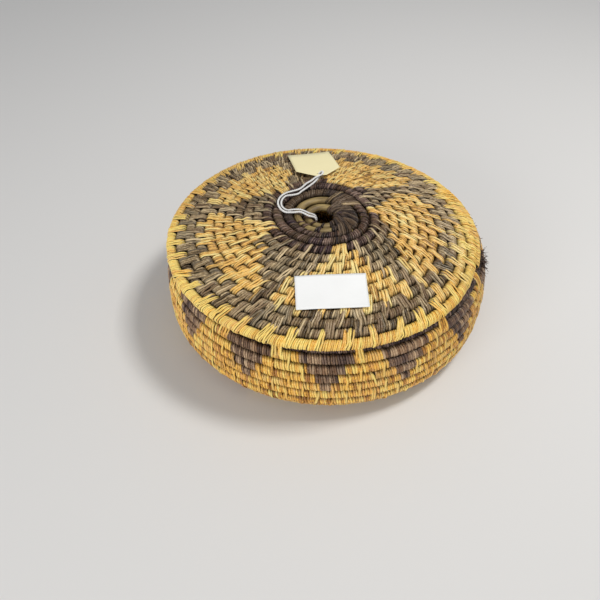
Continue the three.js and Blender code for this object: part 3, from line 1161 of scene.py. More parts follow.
# Control points of a stitch: its row (0 the outer, 1 the inner), across in coil widths, out in
# half thicknesses, how far along its lean it has gone, and how deep it lies, which sets its painted
# shade
STITCH_POINTS = np.array(
    [
        (0, 0.50, 0.00, -0.30, 1.0),
        (0, 0.36, 0.82, -0.15, 0.3),
        (0, 0.00, 1.06, 0.00, 0.0),
        (0, -0.50, 1.04, 0.22, 0.1),
        (1, 0.05, 1.17, 0.44, 0.0),
        (1, -0.36, 0.78, 0.60, 0.4),
        (1, -0.56, -0.10, 0.70, 1.0),
        (1, -0.36, -0.88, 0.60, 0.4),
        (1, 0.05, -1.17, 0.40, 0.0),
        (0, -0.50, -0.98, 0.20, 0.1),
        (0, 0.00, -1.03, 0.00, 0.0),
        (0, 0.36, -0.80, -0.15, 0.3),
    ]
)


@dataclass
class Strands:
    """Wraps or stitches of one spiral, one entry for each.

    Attributes:
        turn: Where each lies, in turns.
        sweep: Their bands.
        dye: The number of each one's dye.
    """

    turn: Array
    sweep: Sweep
    dye: Array = field(default_factory=lambda: np.zeros(0))

    def some(self, which: Array) -> "Strands":
        """Return some of the strands, not yet dyed."""
        return Strands(self.turn[which], self.sweep.some(which))


@dataclass(frozen=True)
class LooseEnds:
    """Ends of strands that have worked loose.

    Attributes:
        name: Name of their piece.
        node: The node that it stands for.
        finish: Their finish.
        length: Their least and greatest length.
        width: Their least and greatest width.
        lift: How far they stand up, over their length.
    """

    name: str
    node: str
    finish: Finish
    length: Span
    width: Span
    lift: float


@dataclass
class Sewer:
    """Sews one spiral: wraps its coil and ties each row to the one before.

    Attributes:
        spiral: The coil.
        random: Source of its unevenness.
        wrap_step: Distance between two strands, by turn.
        block_step: Distance between two blocks of long stitches, by turn.
        cover: Share of that distance that a block covers, by turn.
        sewn: Which blocks are there, by turn.
        lean: Mean lean of the stitches in degrees, and its spread.
        half_width: Half the width of the sewn coil.
        crown: Height of a strand's middle over its sides, as a share of its width.
        highest: The most that a stitch stands out, in half thicknesses.
        uneven: Spread of the wraps' size, by turn.
    """

    spiral: Spiral
    random: np.random.Generator
    wrap_step: Gauge
    block_step: Gauge
    cover: Gauge
    sewn: Gauge
    lean: Span = (16.0, 7.0)
    half_width: float = HALF_WIDTH
    crown: float = STRAND_CROWN
    highest: float = 1.24
    uneven: Gauge = constant(0.026)

    def blocks(self, start: float, end: float) -> Array:
        """Return the middles of the blocks, each drawn to lie between two of the row before.

        Args:
            start: First turn of the outer row.
            end: Last turn of the outer row.

        Returns:
            The middles, in turns.
        """
        turn = max(start, self.spiral.first_turn + 1)
        placed: list[float] = []
        while turn < end:
            placed.append(turn)
            here = np.array([turn])
            circle = 2 * math.pi * float(self.spiral.radius(here)[0])
            pace = float(self.block_step(here)[0]) / circle * self.random.uniform(*BLOCK_PACE)
            after = int(np.searchsorted(placed, turn + pace - 1))
            if 0 < after < len(placed):
                slip = COIL_PITCH * math.tan(math.radians(self.lean[0])) / circle
                middle = (placed[after - 1] + placed[after]) / 2 + 1 + slip
                most = BRICK_LIMIT * pace
                pace += float(np.clip(BRICK_PULL * (middle - turn - pace), -most, most))
            turn += pace
        return np.array(placed)

    def sew(self, start: float, end: float) -> tuple[Strands, Strands]:
        """Return the wraps and the long stitches, which lie side by side along the coil.

        Args:
            start: First turn.
            end: Last turn.

        Returns:
            Both, not yet told apart by colour.
        """
        spacing = self.random.uniform(*STRAND_PACE, PACES)
        turn = self.spiral.spaced(start, end, self.wrap_step, spacing)
        circle = 2 * math.pi * self.spiral.radius(turn)
        width = np.clip(np.gradient(turn) * circle / self.wrap_step(turn), *WIDTH_LIMITS)
        width *= self.wrap_step(turn) * self.random.uniform(*STRAND_LAP, len(turn))
        blocks = self.blocks(start, self.spiral.last_turn)
        blocks = blocks[self.sewn(blocks)]
        breadth = self.block_step(blocks) * self.cover(blocks)
        breadth *= self.random.uniform(*BLOCK_BREADTH, len(blocks))
        leans = np.radians(self.random.normal(*self.lean, len(blocks)))
        after = np.clip(np.searchsorted(blocks, turn), 1, len(blocks) - 1)
        owner = after - (turn - blocks[after - 1] < blocks[after] - turn)
        aside = (blocks[owner] - turn) * circle
        least = LEAST_BLOCK * self.wrap_step(turn)
        long = np.abs(aside) < np.maximum(breadth[owner], least) / 2
        long |= turn > self.spiral.last_turn
        tone, hue = self.shades(len(turn))
        wrap = self.wraps(turn[~long], width[~long], tone[~long], hue[~long])
        # Raised stitches are paler: painted highlight and wear
        own, tone = owner[long], np.clip(tone[long] + STITCH_HIGHLIGHT_AND_WEAR, 0, 1)
        lean = leans[own] + self.random.normal(0, STITCH_LEAN, len(own))
        fan = aside[long] * self.random.normal(*STITCH_FAN, len(blocks))[own]
        return wrap, self.stitches(turn[long], width[long], lean, fan, tone, hue[long])

    def shades(self, count: int) -> tuple[Array, Array]:
        """Return tone and hue by strand, where a split length of fibre lasts for some strands.

        Args:
            count: Number of strands.

        Returns:
            Their tones and hues, from 0 to 1.
        """
        draws = int(count / 4) + 8  # more than are needed
        lengths = self.random.exponential(LENGTH_OF_FIBRE, draws).astype(int) + LEAST_LENGTH
        owner = np.repeat(np.arange(len(lengths)), lengths)[:count]
        tone = self.random.normal(*FIBRE_TONE, len(lengths))[owner]
        tone += self.random.normal(0, STRAND_TONE, count)
        hue = self.random.random(len(lengths))[owner] + self.random.normal(0, STRAND_HUE, count)
        return np.clip(tone, 0, 1), np.clip(hue, 0, 1)

    def wraps(self, turn: Array, width: Array, tone: Array, hue: Array) -> Strands:
        """Return wraps round the coil.

        Args:
            turn: Where they lie.
            width: Their widths.
            tone: Their tones.
            hue: Their hues.

        Returns:
            The wraps, not yet dyed.
        """
        count = len(turn)
        phi = np.linspace(-math.pi, math.pi, WRAP_STATIONS)
        cosine, sine = np.cos(phi), np.sin(phi)
        across = self.half_width * np.sign(cosine) * np.abs(cosine) ** (2 / ROUNDNESS)
        out = HALF_THICKNESS * np.sign(sine) * np.abs(sine) ** (2 / ROUNDNESS)
        swell = 1 + (self.uneven(turn) * self.random.normal(0, 1, count))[:, None]
        share, spread = WRAP_LEAN
        lean = np.radians(share * self.lean[0] + self.random.normal(0, spread, (count, 1)))
        shift = width[:, None] * phi / (2 * math.pi) - across * np.tan(lean)
        turns = np.broadcast_to(turn[:, None], (count, WRAP_STATIONS))
        path = self.spiral.spot(turns, across * swell, out * swell, shift)
        normal = self.outward(path, turns, across, out, shift)
        section = self.section(np.broadcast_to(width[:, None], (count, WRAP_STATIONS)))
        # Painted shade: wraps darken towards the crevices beside the next rows
        deep = smooth(np.abs(cosine), *CREVICE)
        deep = deep * self.random.uniform(*CREVICE_DEPTH, (count, 1))
        depth = deep * self.spiral.crevice_shade(turns, across)
        return Strands(turn, Sweep(path, normal, section, False, tone, hue, depth))

    def outward(
        self, path: Array, turns: Array, across: Array, out: Array, shift: Array
    ) -> Array:
        """Return the directions out from the coil at places that lie beside it."""
        return unit(self.spiral.spot(turns, across * OUTWARD, out * OUTWARD, shift) - path)

    def section(self, width: Array) -> Array:
        """Return the four corners of a strand's section for widths by strand and station.

        Args:
            width: Widths, by strand and station.

        Returns:
            The corners.
        """
        corners = np.array([(0.5, 0.0), (0.0, 1.0), (-0.5, 0.0), (0.0, -1.0)])
        across = width[..., None] * corners[:, 0]
        crown = np.where(corners[:, 1] > 0, self.crown, STRAND_BACK) * corners[:, 1]
        return np.stack([across, width[..., None] * crown], axis=-1)

    def stitches(
        self, turn: Array, width: Array, lean: Array, fan: Array, tone: Array, hue: Array
    ) -> Strands:
        """Return the long stitches that tie each row to the one before.

        Args:
            turn: Where they lie.
            width: Their widths.
            lean: Their leans in radians.
            fan: How far their inner ends spread.
            tone: Their tones.
            hue: Their hues.

        Returns:
            The stitches, not yet dyed.
        """
        count, points = len(turn), len(STITCH_POINTS)
        row, across, high, share, deep = STITCH_POINTS.T
        rows = np.stack([turn, turn - 1], axis=1)[:, row.astype(int)]
        s, coil = self.spiral.station(rows)
        across = across + self.random.normal(0, STATION_SPREAD, (count, points))
        high = high * (1 + self.random.normal(0, STATION_SPREAD, (count, 1)))
        high = np.clip(high, -self.highest, self.highest)
        thickness = HALF_THICKNESS * np.sqrt(coil / COIL_WIDTH)
        flat = self.spiral.profile.beside(s, across * coil, high * thickness)
        shift = share * (2 * COIL_PITCH * np.tan(lean) + fan)[:, None]
        shift += self.random.normal(0, SHIFT_SPREAD, (count, points))
        # Painted shade: stitches darken where they dive deep between rows
        depth = deep * self.spiral.crevice_shade(rows, across)
        track = closed_curve(np.concatenate([flat, shift[..., None], depth[..., None]], axis=-1))
        turns = np.broadcast_to(turn[:, None], track.shape[:2])
        path = self.spiral.in_space(track[..., :2], turns, track[..., 2])
        ahead = np.roll(path, -1, axis=1) - np.roll(path, 1, axis=1)
        round_axis = self.spiral.round_axis(turns, track[..., 2])
        normal = unit(np.cross(ahead, round_axis))
        middle = path.mean(axis=1, keepdims=True)
        inward = np.sum(normal * (path - middle), axis=-1).mean(axis=1) < 0
        normal[inward] *= -1
        section = self.section(np.broadcast_to(width[:, None], track.shape[:2]))
        depth = np.clip(track[..., 3], 0, 1)
        return Strands(turn, Sweep(path, normal, section, True, tone, hue, depth))

    def fray(self, ends: LooseEnds, turn: Array, body: str) -> None:
        """Make ends of strands that stand away from the coil.

        Args:
            ends: Their kind.
            turn: Where they start.
            body: The body that they ride on.
        """
        count = len(turn)
        draw = self.random.uniform
        phi = draw(*LOOSE_PLACE, (count, 1)) * math.pi
        long, away = draw(*ends.length, (count, 1)), draw(*LOOSE_AWAY, (count, 1))
        share = np.linspace(0, 1, LOOSE_STATIONS)
        bend = draw(*LOOSE_BEND, (count, 1)) * share**2
        aside = long * share * np.cos(phi + LOOSE_TURN) * draw(*LOOSE_ASIDE, (count, 1))
        across = self.half_width * np.cos(phi) + aside
        rise = long * ends.lift * share ** draw(*LOOSE_RISE, (count, 1))
        out = HALF_THICKNESS * np.sin(phi) + rise
        shift = long * (share * np.sin(away) + bend)
        turns = np.broadcast_to(turn[:, None], (count, LOOSE_STATIONS))
        path = self.spiral.spot(turns, across, out, shift)
        normal = self.outward(path, turns, across, out, shift)
        section = self.section(draw(*ends.width, (count, 1)) * (1 - LOOSE_TAPER * share))
        tone, hue = draw(*LOOSE_TONE, count), draw(*LOOSE_HUE, count)
        sweep = replace(Sweep.even(path, normal, section, False, tone), hue=hue)
        weave(ends.name, sweep, ends.finish, body, (ends.node,))

    def bundle(self, start: float, end: float, bare: float) -> Sweep:
        """Return the bundle of grass inside the sewing.

        Args:
            start: First turn.
            end: Last turn.
            bare: If it is bare, 1, or inside the sewing, 0.

        Returns:
            The bundle as one band.
        """
        steps = int((end - start) * BUNDLE_STATIONS) + 2
        turn, zero = np.linspace(start, end, steps), np.zeros(steps)
        phi = np.linspace(0, 2 * math.pi, BUNDLE_SIDES, endpoint=False)
        path = self.spiral.spot(turn, zero, zero, zero)
        normal = unit(self.spiral.spot(turn, zero, zero + COIL_THICKNESS, zero) - path)
        thin = self.spiral.station(turn)[1] / COIL_WIDTH
        point = smooth(np.arange(steps) / BUNDLE_STATIONS, *BUNDLE_POINT)
        wide, thick = BUNDLE_SIZE
        across = wide * self.half_width * (thin * point)[:, None] * np.cos(phi)
        out = thick * HALF_THICKNESS * np.sqrt(thin * point)[:, None] * np.sin(phi)
        section = np.stack([across, out], axis=-1)[None]
        # Painted shade: full on the sewn bundle, slight on the bare one
        depth = np.full((1, steps), BARE_DEPTH if bare else 1.0)
        return Sweep(path[None], normal[None], section, False, np.array([bare]), np.zeros(1), depth)


def closed_curve(points: Array) -> Array:
    """Return stations evenly placed on smooth closed curves through rows of control points.

    Args:
        points: Control points, by curve; each may have any count of numbers.

    Returns:
        The stations, by curve.
    """
    count = points.shape[1]
    place = np.arange(STITCH_STATIONS) / STITCH_STATIONS * count
    i = place.astype(int)
    t = (place - i)[:, None]
    p = [points[:, (i + k) % count] for k in (-1, 0, 1, 2)]
    return 0.5 * (
        2 * p[1]
        + (p[2] - p[0]) * t
        + (2 * p[0] - 5 * p[1] + 4 * p[2] - p[3]) * t**2
        + (3 * p[1] - p[0] - 3 * p[2] + p[3]) * t**3
    )


WALL_ENDS = LooseEnds(
    name="wall_loose_ends", node="wall_coil", finish=GOLD_STRAW,
    length=(0.0012, 0.0042), width=(0.00010, 0.00026), lift=0.5,
)
TUFT_ENDS = LooseEnds(
    name="basket_rim_frayed_ends", node="basket_rim_coil", finish=PLUM_STRAW,
    length=(0.0024, 0.0056), width=(0.00050, 0.00110), lift=0.7,
)
WORN_ENDS = LooseEnds(
    name="basket_rim_loose_ends", node="basket_rim_coil", finish=PLUM_STRAW,
    length=(0.0015, 0.0035), width=(0.00050, 0.00100), lift=0.7,
)
LID_ENDS = LooseEnds(
    name="lid_loose_ends", node="lid_rim_coil", finish=LIGHT_STRAW,
    length=(0.0008, 0.0022), width=(0.00010, 0.00022), lift=0.25,
)


@dataclass(frozen=True)
class Region:
    """A stretch of the coil as its maker names it.

    Attributes:
        name: Name of the stretch.
        start: First turn.
        end: Last turn.
    """

    name: str
    start: float
    end: float

    def holds(self, turn: Array) -> Array:
        """Return which turns lie in the stretch."""
        return (turn >= self.start) & (turn < self.end)

    @property
    def node(self) -> str:
        """Name of the stretch's node."""
        return f"{self.name}_coil"


@dataclass
class Basket:
    """The basket's body: base, foot, wall and rim, with dark triangles hanging from the rim.

    Attributes:
        body: The body that its pieces ride on.
        triangles: Number of triangles.
        first_triangle: Angle of the first one.
        triangle_widths: Their widths in degrees, row by row from the rim down.
        wrap_step: Distance between two strands.
        block_step: Distance between two blocks of long stitches.
        rim_cover, wall_cover: Share of that distance that a block covers.
        lean: Mean lean of the stitches in degrees, and its spread.
        half_width: Half the width of the sewn coil.
        crown: Height of a strand's middle over its sides, as a share of its width.
        highest: The most that a stitch stands out, in half thicknesses.
        loose_ends: Number of strands that have worked loose.
        frayed_rows: The rows on which they lie.
        frayed_at: Angle of the rim's frayed end.
        tuft_ends: Number of its ends.
        tuft_spread: Their spread in turns.
        worn_ends: Number of loose ends beside it.
        worn_stretch: Least and greatest distance from it, in turns.
        spiral: The coil.
    """

    body: str = "basket"
    triangles: int = 14
    first_triangle: float = -1.8
    triangle_widths: tuple[float, ...] = (16.6, 11.8, 7.3, 3.4)
    wrap_step: float = 0.00134
    block_step: float = 0.0130
    rim_cover: float = 0.42
    wall_cover: float = 0.08
    lean: Span = (3.0, 5.0)
    half_width: float = 0.00290
    crown: float = 0.18
    highest: float = 1.05
    loose_ends: int = 230
    frayed_rows: int = 7
    frayed_at: float = 75.0
    tuft_ends: int = 70
    tuft_spread: float = 0.0055
    worn_ends: int = 22
    worn_stretch: Span = (0.03, 0.15)
    spiral: Spiral = field(init=False)

    def __post_init__(self) -> None:
        """Lay out the coil."""
        self.spiral = Spiral(basket_profile(), BASE_RADIUS, BASKET_END_ANGLE, (0, 0, 0))

    def regions(self) -> list[Region]:
        """Return the stretches of the coil.

        Returns:
            The stretches, from the middle outwards.
        """
        last = self.spiral.last_turn
        foot_end = last - SHOULDER_RISE / COIL_PITCH
        return [
            Region("base", 0, self.spiral.level_turn),
            Region("foot", self.spiral.level_turn, foot_end),
            Region("wall", foot_end, last - 1),
            Region("basket_rim", last - 1, self.spiral.end_turn + 1),
        ]

    def from_triangle(self, degrees: Array) -> Array:
        """Return how far an angle lies from the middle of the nearest triangle."""
        step = 360 / self.triangles
        return np.abs((degrees - self.first_triangle + step / 2) % step - step / 2)

    def in_triangle(self, row: Array, degrees: Array) -> Array:
        """Return which places below the rim lie in a dark triangle.

        Args:
            row: Rows, counted from 1 at the rim.
            degrees: Angles.

        Returns:
            True for those that do.
        """
        away = self.from_triangle(degrees)
        inside = np.zeros(row.shape, dtype=bool)
        for number, width in enumerate(self.triangle_widths):
            inside |= (row == number + 2) & (away < width / 2)
        return inside

    def wrap_dyes(self, turn: Array) -> Array:
        """Return the dye of each wrap: plum on the rim, brown in the triangles.

        Args:
            turn: Numbers of turns.

        Returns:
            The dyes' numbers.
        """
        row = self.spiral.row(turn)
        inside = self.in_triangle(row, self.spiral.degrees(turn))
        return np.select([row <= 1, inside], [Dye.PLUM.value, Dye.BROWN.value], Dye.GOLD.value)

    def sewn(self, turn: Array) -> Array:
        """Return which stitches are there: none over the bars of the triangles.

        Args:
            turn: Numbers of turns.

        Returns:
            True for those that are.
        """
        row, degrees = self.spiral.row(turn), self.spiral.degrees(turn)
        bar = self.in_triangle(np.maximum(row, 2), degrees) | self.in_triangle(row + 1, degrees)
        return ~bar

    def cover(self, turn: Array) -> Array:
        """Return the share of the rows that long stitches cover, most on the rim."""
        return np.where(self.spiral.row(turn) <= 1, self.rim_cover, self.wall_cover)

    def build(self) -> None:
        """Make the sewing and the bundle of each stretch."""
        sewer = Sewer(
            self.spiral,
            np.random.default_rng(SEED),
            wrap_step=constant(self.wrap_step),
            block_step=constant(self.block_step),
            cover=self.cover,
            sewn=self.sewn,
            lean=self.lean,
            half_width=self.half_width,
            crown=self.crown,
            highest=self.highest,
        )
        first, last = self.spiral.start_turn, self.spiral.end_turn
        wraps, stitches = sewer.sew(first, last)
        wraps.dye = self.wrap_dyes(wraps.turn)
        end = stitches.turn > self.spiral.last_turn
        stitches.dye = np.where(end, Dye.PLUM.value, Dye.GOLD.value)
        make_pieces(self.regions(), wraps, stitches, sewer, self.body, first, last)
        self.fray(sewer)

    def fray(self, sewer: Sewer) -> None:
        """Make the ends that have worked loose on the wall, and the frayed end of the rim.

        Args:
            sewer: The one that sewed the basket.
        """
        last = self.spiral.last_turn
        turn = sewer.random.uniform(last - self.frayed_rows, last - 1, self.loose_ends)
        turn = turn[~self.in_triangle(self.spiral.row(turn), self.spiral.degrees(turn))]
        sewer.fray(WALL_ENDS, turn, self.body)
        place = last - 1 + (self.spiral.end_angle - self.frayed_at) / 360
        tuft = sewer.random.normal(0, self.tuft_spread, self.tuft_ends)
        sewer.fray(TUFT_ENDS, place + tuft, self.body)
        worn = place - sewer.random.uniform(*self.worn_stretch, self.worn_ends)
        sewer.fray(WORN_ENDS, worn, self.body)


def make_pieces(
    regions: list[Region],
    wraps: Strands,
    stitches: Strands,
    sewer: Sewer,
    body: str,
    start: float,
    end: float,
) -> None:
    """Make the pieces of a spiral, stretch by stretch and dye by dye.

    Args:
        regions: The stretches.
        wraps: The wraps, dyed.
        stitches: The long stitches, dyed.
        sewer: The one that sewed them.
        body: The body that they ride on.
        start: First turn of the bundle.
        end: Last turn of the bundle.
    """
    for region in regions:
        from_turn, to_turn = max(region.start, start), min(region.end, end)
        bundle = sewer.bundle(from_turn, to_turn, float(region.name == "well"))
        weave(f"{region.name}_bundle", bundle, BUNDLE, body, (region.node,))
        for kind, strands in ((Sewing.WRAP, wraps), (Sewing.STITCH, stitches)):
            for dye in Dye:
                wanted = region.holds(strands.turn) & (strands.dye == dye.value)
                if wanted.any():
                    name = f"{region.name}_{dye.name.lower()}_{kind.value}"
                    weave(name, strands.sweep.some(wanted), DYED[dye], body, (region.node,))


@dataclass(frozen=True)
class Motif:
    """A light stepped triangle on the lid, as angles in degrees by row, from its base inwards.

    Attributes:
        starts: Where each row of it begins.
        ends: Where each row of it ends.
    """

    starts: tuple[float, ...]
    ends: tuple[float, ...]


@dataclass
class Lid:
    """The lid: a dished well, a plum crest, a patterned slope, a rim and a collar.

    Rows are counted from 1 at the rim, and angles are in degrees.

    Attributes:
        body: The body that its pieces ride on.
        first_motif_row: Row of the light triangles' base.
        double_rim: Angles between which the second row is light too.
        motifs: The light triangles.
        crest_row, fan_row, bare_rows: First row of the crest, of the fanned stitches and of the
            bare bundle.
        bare: Angles between which the bundle lies bare.
        fan: Angles between which stitches fan out from the hole.
        worn_front, worn_back, worn_half: Middles and half length of the worn stretches.
        pale_rim: How much paler the rim's strands are.
        rim_step, crest_step, slope_step: Distance between two strands.
        block_least, block_growth: Distance between two blocks of stitches, and its growth outwards.
        block_even: Radius within which it doesn't grow.
        fan_cover, inner_cover, slope_cover: Share of that distance that a block covers.
        inner_dark: Radius within which the dark field counts as inner.
        crest_uneven, slope_uneven: Spread of the wraps' size.
        loose_ends: Number of strands that have worked loose.
        loose_rows: The rows on which they lie.
        collar_step, collar_block_step, collar_cover: The same for the collar.
        collar_lean: Mean lean of the collar's stitches in degrees, and its spread.
        height: Height of the rim plane.
        crest_turn: The crest, in turns.
        spiral, collar: The coils.
        slope: The slope's angle in radians.
    """

    body: str = "lid"
    first_motif_row: int = 5
    double_rim: Span = (42.0, 92.0)
    motifs: tuple[Motif, ...] = (
        Motif((-26, -24, -23, -13, -6, 2, 6), (39.5, 37, 35.5, 31, 27, 21, 16)),
        Motif((44, 45, 47, 54, 63, 73, 86), (113.5, 115.5, 115, 111, 105, 100, 98)),
        Motif((123, 124, 126, 127, 129, 132, 141), (179, 181, 183, 182, 180, 177, 172)),
        Motif((206, 203, 200, 202, 209, 212, 218), (255, 255, 251, 247, 243, 240, 232)),
        Motif((-98, -98, -96, -90, -86, -80, -76), (-32, -33, -37, -46, -54, -61, -69)),
    )
    crest_row: int = 11
    fan_row: int = 13
    bare_rows: int = 14
    bare: Span = (150.0, 262.0)
    fan: Span = (20.0, 148.0)
    worn_front: float = -20.0
    worn_back: float = 215.0
    worn_half: float = 75.0
    pale_rim: float = 0.24
    rim_step: float = 0.00104
    crest_step: float = 0.00125
    slope_step: float = 0.00136
    block_least: float = 0.0067
    block_growth: float = 0.102
    block_even: float = 0.045
    fan_cover: float = 1.3
    inner_cover: float = 0.3
    inner_dark: float = 0.056
    slope_cover: float = 0.44
    crest_uneven: float = 0.08
    slope_uneven: float = 0.032
    loose_ends: int = 150
    loose_rows: int = 9
    collar_step: float = 0.0014
    collar_block_step: float = 0.0098
    collar_cover: float = 0.3
    collar_lean: Span = (2.0, 4.0)
    height: float = field(init=False)
    crest_turn: float = field(init=False)
    spiral: Spiral = field(init=False)
    collar: Collar = field(init=False)
    slope: float = field(init=False)

    def __post_init__(self) -> None:
        """Seat the lid on the basket and lay out its coils."""
        wall, line = basket_profile(), lid_profile()
        across, out = np.array(COIL_CORNERS).T * [[COIL_WIDTH], [COIL_THICKNESS]]
        rim = wall.beside(np.full(len(across), wall.length), across, out)
        under = line.beside(np.full(len(across), line.length), across, out)
        self.height = rim[:, 1].max() + SEAT_CLEARANCE - under[:, 1].min()
        first, last = line.points[1, 0], line.points[-2, 0]
        crest = round((CREST_RADIUS - first) / (last - first) * PROFILE_STEPS)
        self.crest_turn = line.lengths[crest] / COIL_PITCH
        centre = (*LID_SHIFT, self.height)
        self.spiral = Spiral(line, 0, LID_END_ANGLE, centre)
        self.slope = math.atan2(CREST_RISE, LID_RADIUS - COIL_WIDTH / 2 - CREST_RADIUS)
        play = math.hypot(*LID_SHIFT) + COLLAR_PLAY + COIL_THICKNESS / 2
        radius = rim[:, 0].min() - play
        top = self.surface(radius) - COIL_THICKNESS / math.cos(self.slope) - SEAT_CLEARANCE
        self.collar = Collar(radius, top, centre)

    def surface(self, radius: Array) -> Array:
        """Return the height of the slope's outside over the rim plane."""
        fall = (LID_RADIUS - COIL_WIDTH / 2 - radius) * math.tan(self.slope)
        return fall + COIL_THICKNESS / 2 / math.cos(self.slope)

    def regions(self) -> list[Region]:
        """Return the stretches of the coil.

        Returns:
            The stretches, from the hole outwards.
        """
        crest, last = self.crest_turn, self.spiral.last_turn
        half = CREST_TURNS / 2
        middle = (crest + half + last - 1) / 2
        return [
            Region("well", self.spiral.start_turn, crest - half),
            Region("crest", crest - half, crest + half),
            Region("upper_slope", crest + half, middle),
            Region("lower_slope", middle, last - 1),
            Region("lid_rim", last - 1, self.spiral.end_turn + 1),
        ]

    def place(self, turn: Array) -> tuple[Array, Array]:
        """Return rows and angles, from -180 to 180 degrees."""
        return self.spiral.row(turn), wrapped(self.spiral.degrees(turn))

    def in_motif(self, row: Array, degrees: Array) -> Array:
        """Return which places lie in a light triangle; a row may lie between two.

        Args:
            row: Rows, counted from 1 at the rim.
            degrees: Angles.

        Returns:
            True for those that do.
        """
        inside = np.zeros(row.shape, dtype=bool)
        for motif in self.motifs:
            rows = self.first_motif_row + np.arange(len(motif.starts))
            start, end = np.interp(row, rows, motif.starts), np.interp(row, rows, motif.ends)
            between = (degrees - start) % 360 < end - start
            inside |= (row > rows[0] - 1) & (row <= rows[-1]) & between
        return inside

    def light(self, turn: Array, reach: float) -> Array:
        """Return which places are light: the rim and the triangles.

        Args:
            turn: Where the strands lie.
            reach: How many rows further in they are counted.

        Returns:
            True for those that are.
        """
        row, degrees = self.place(turn)
        start, end = self.double_rim
        rim = (row <= 1) | ((row == 2) & (degrees > start) & (degrees < end))
        return rim | self.in_motif(row + reach, degrees)

    def well_dyes(self, turn: Array) -> Array:
        """Return the dye of each wrap of the crest and the well.

        Args:
            turn: Numbers of turns.

        Returns:
            The dyes' numbers.
        """
        row, degrees = self.place(turn)
        front = np.abs(degrees - self.worn_front) < self.worn_half
        back = np.abs(wrapped(degrees - self.worn_back)) < self.worn_half
        patch = patches(turn, 47, 131)
        worn = (
            ((row == self.crest_row + 1) & front & (patch > 0.4))
            | ((row == self.fan_row) & (back | (front & (patch > 0.5))))
            | ((row >= self.bare_rows) & (patch > -0.9))
        )
        return np.where(worn, Dye.WORN.value, Dye.PLUM.value)

    def wrap_dyes(self, turn: Array) -> Array:
        """Return the dye of each wrap.

        Args:
            turn: Numbers of turns.

        Returns:
            The dyes' numbers.
        """
        slope = self.spiral.row(turn) < self.crest_row
        dark = np.where(slope, Dye.DARK.value, self.well_dyes(turn))
        return np.where(self.light(turn, 0), Dye.LIGHT.value, dark)

    def bare_in_well(self, turn: Array) -> Array:
        """Return where the bundle lies bare: at the back left of the hole and here and there.

        Args:
            turn: Numbers of turns.

        Returns:
            True where it does.
        """
        degrees = self.spiral.degrees(turn) % 360
        back = (degrees > self.bare[0]) & (degrees < self.bare[1])
        start, end = self.fan
        loose = (patches(turn, 61, 143) > -0.5) & ((degrees < start) | (degrees > end))
        return (self.spiral.row(turn) >= self.bare_rows) & (back | loose)

    def fanned(self, turn: Array) -> Array:
        """Return where long stitches fan out from the hole, at its right.

        Args:
            turn: Numbers of turns.

        Returns:
            True where they do.
        """
        row, degrees = self.place(turn)
        start, end = self.fan
        rows = (row >= self.fan_row) & (row <= self.bare_rows)
        return rows & (degrees > start) & (degrees < end)

    def sewn(self, turn: Array) -> Array:
        """Return which stitches are there: those of the slope and the fan."""
        return (self.spiral.row(turn) < self.crest_row) | self.fanned(turn)

    def wrap_step(self, turn: Array) -> Array:
        """Return the distance between two wraps, least on the rim.

        Args:
            turn: Numbers of turns.

        Returns:
            The distances.
        """
        row = self.spiral.row(turn)
        steps = [self.rim_step, self.crest_step]
        return np.select([row <= 1, row >= self.crest_row], steps, self.slope_step)

    def block_step(self, turn: Array) -> Array:
        """Return the distance between two blocks of stitches, which grows outwards."""
        out = np.maximum(self.spiral.radius(turn) - self.block_even, 0)
        return self.block_least + self.block_growth * out

    def cover(self, turn: Array) -> Array:
        """Return the share of that distance that a block covers, less in the dark by the crest.

        Args:
            turn: Numbers of turns.

        Returns:
            The shares.
        """
        near = (self.spiral.radius(turn) < self.inner_dark) & ~self.light(turn, 0.5)
        shares = [self.fan_cover, self.inner_cover]
        return np.select([self.fanned(turn), near], shares, self.slope_cover)

    def uneven(self, turn: Array) -> Array:
        """Return the spread of the wraps' size, which is greatest on the crest."""
        crest = self.spiral.row(turn) >= self.crest_row
        return np.where(crest, self.crest_uneven, self.slope_uneven)

    def build(self) -> None:
        """Make the sewing and the bundle of each stretch, and the collar."""
        random = np.random.default_rng(SEED + 1)
        sewer = Sewer(
            self.spiral,
            random,
            self.wrap_step,
            self.block_step,
            self.cover,
            self.sewn,
            uneven=self.uneven,
        )
        first, last = self.spiral.start_turn, self.spiral.end_turn
        wraps, stitches = sewer.sew(first + FIRST_WRAP, last)
        wraps = wraps.some(~self.bare_in_well(wraps.turn))
        wraps.dye = self.wrap_dyes(wraps.turn)
        dark = np.where(self.fanned(stitches.turn), Dye.WORN.value, Dye.DARK.value)
        stitches.dye = np.where(self.light(stitches.turn, 0.5), Dye.LIGHT.value, dark)
        for strands in (wraps, stitches):
            rim = self.spiral.row(strands.turn) <= 1
            strands.sweep.tone[rim] += self.pale_rim
            strands.dye[rim] = Dye.GOLD.value
        make_pieces(self.regions(), wraps, stitches, sewer, self.body, first, last)
        turn = random.uniform(last - self.loose_rows, last, self.loose_ends)
        turn = turn[self.light(turn, 0)]
        sewer.fray(LID_ENDS, turn, self.body)
        self.build_collar()

    def build_collar(self) -> None:
        """Make the collar, all in the plum fibre."""
        sewer = Sewer(
            self.collar,
            np.random.default_rng(SEED + 2),
            wrap_step=constant(self.collar_step),
            block_step=constant(self.collar_block_step),
            cover=constant(self.collar_cover),
            sewn=lambda turn: turn < self.collar.last_turn,
            lean=self.collar_lean,
        )
        wraps, stitches = sewer.sew(0.0, self.collar.last_turn)
        wraps.dye = np.full(len(wraps.turn), Dye.PLUM.value)
        stitches.dye = np.full(len(stitches.turn), Dye.PLUM.value)
        region = Region("collar", 0.0, COLLAR_ROWS)
        last = self.collar.last_turn
        make_pieces([region], wraps, stitches, sewer, self.body, 0.0, last)


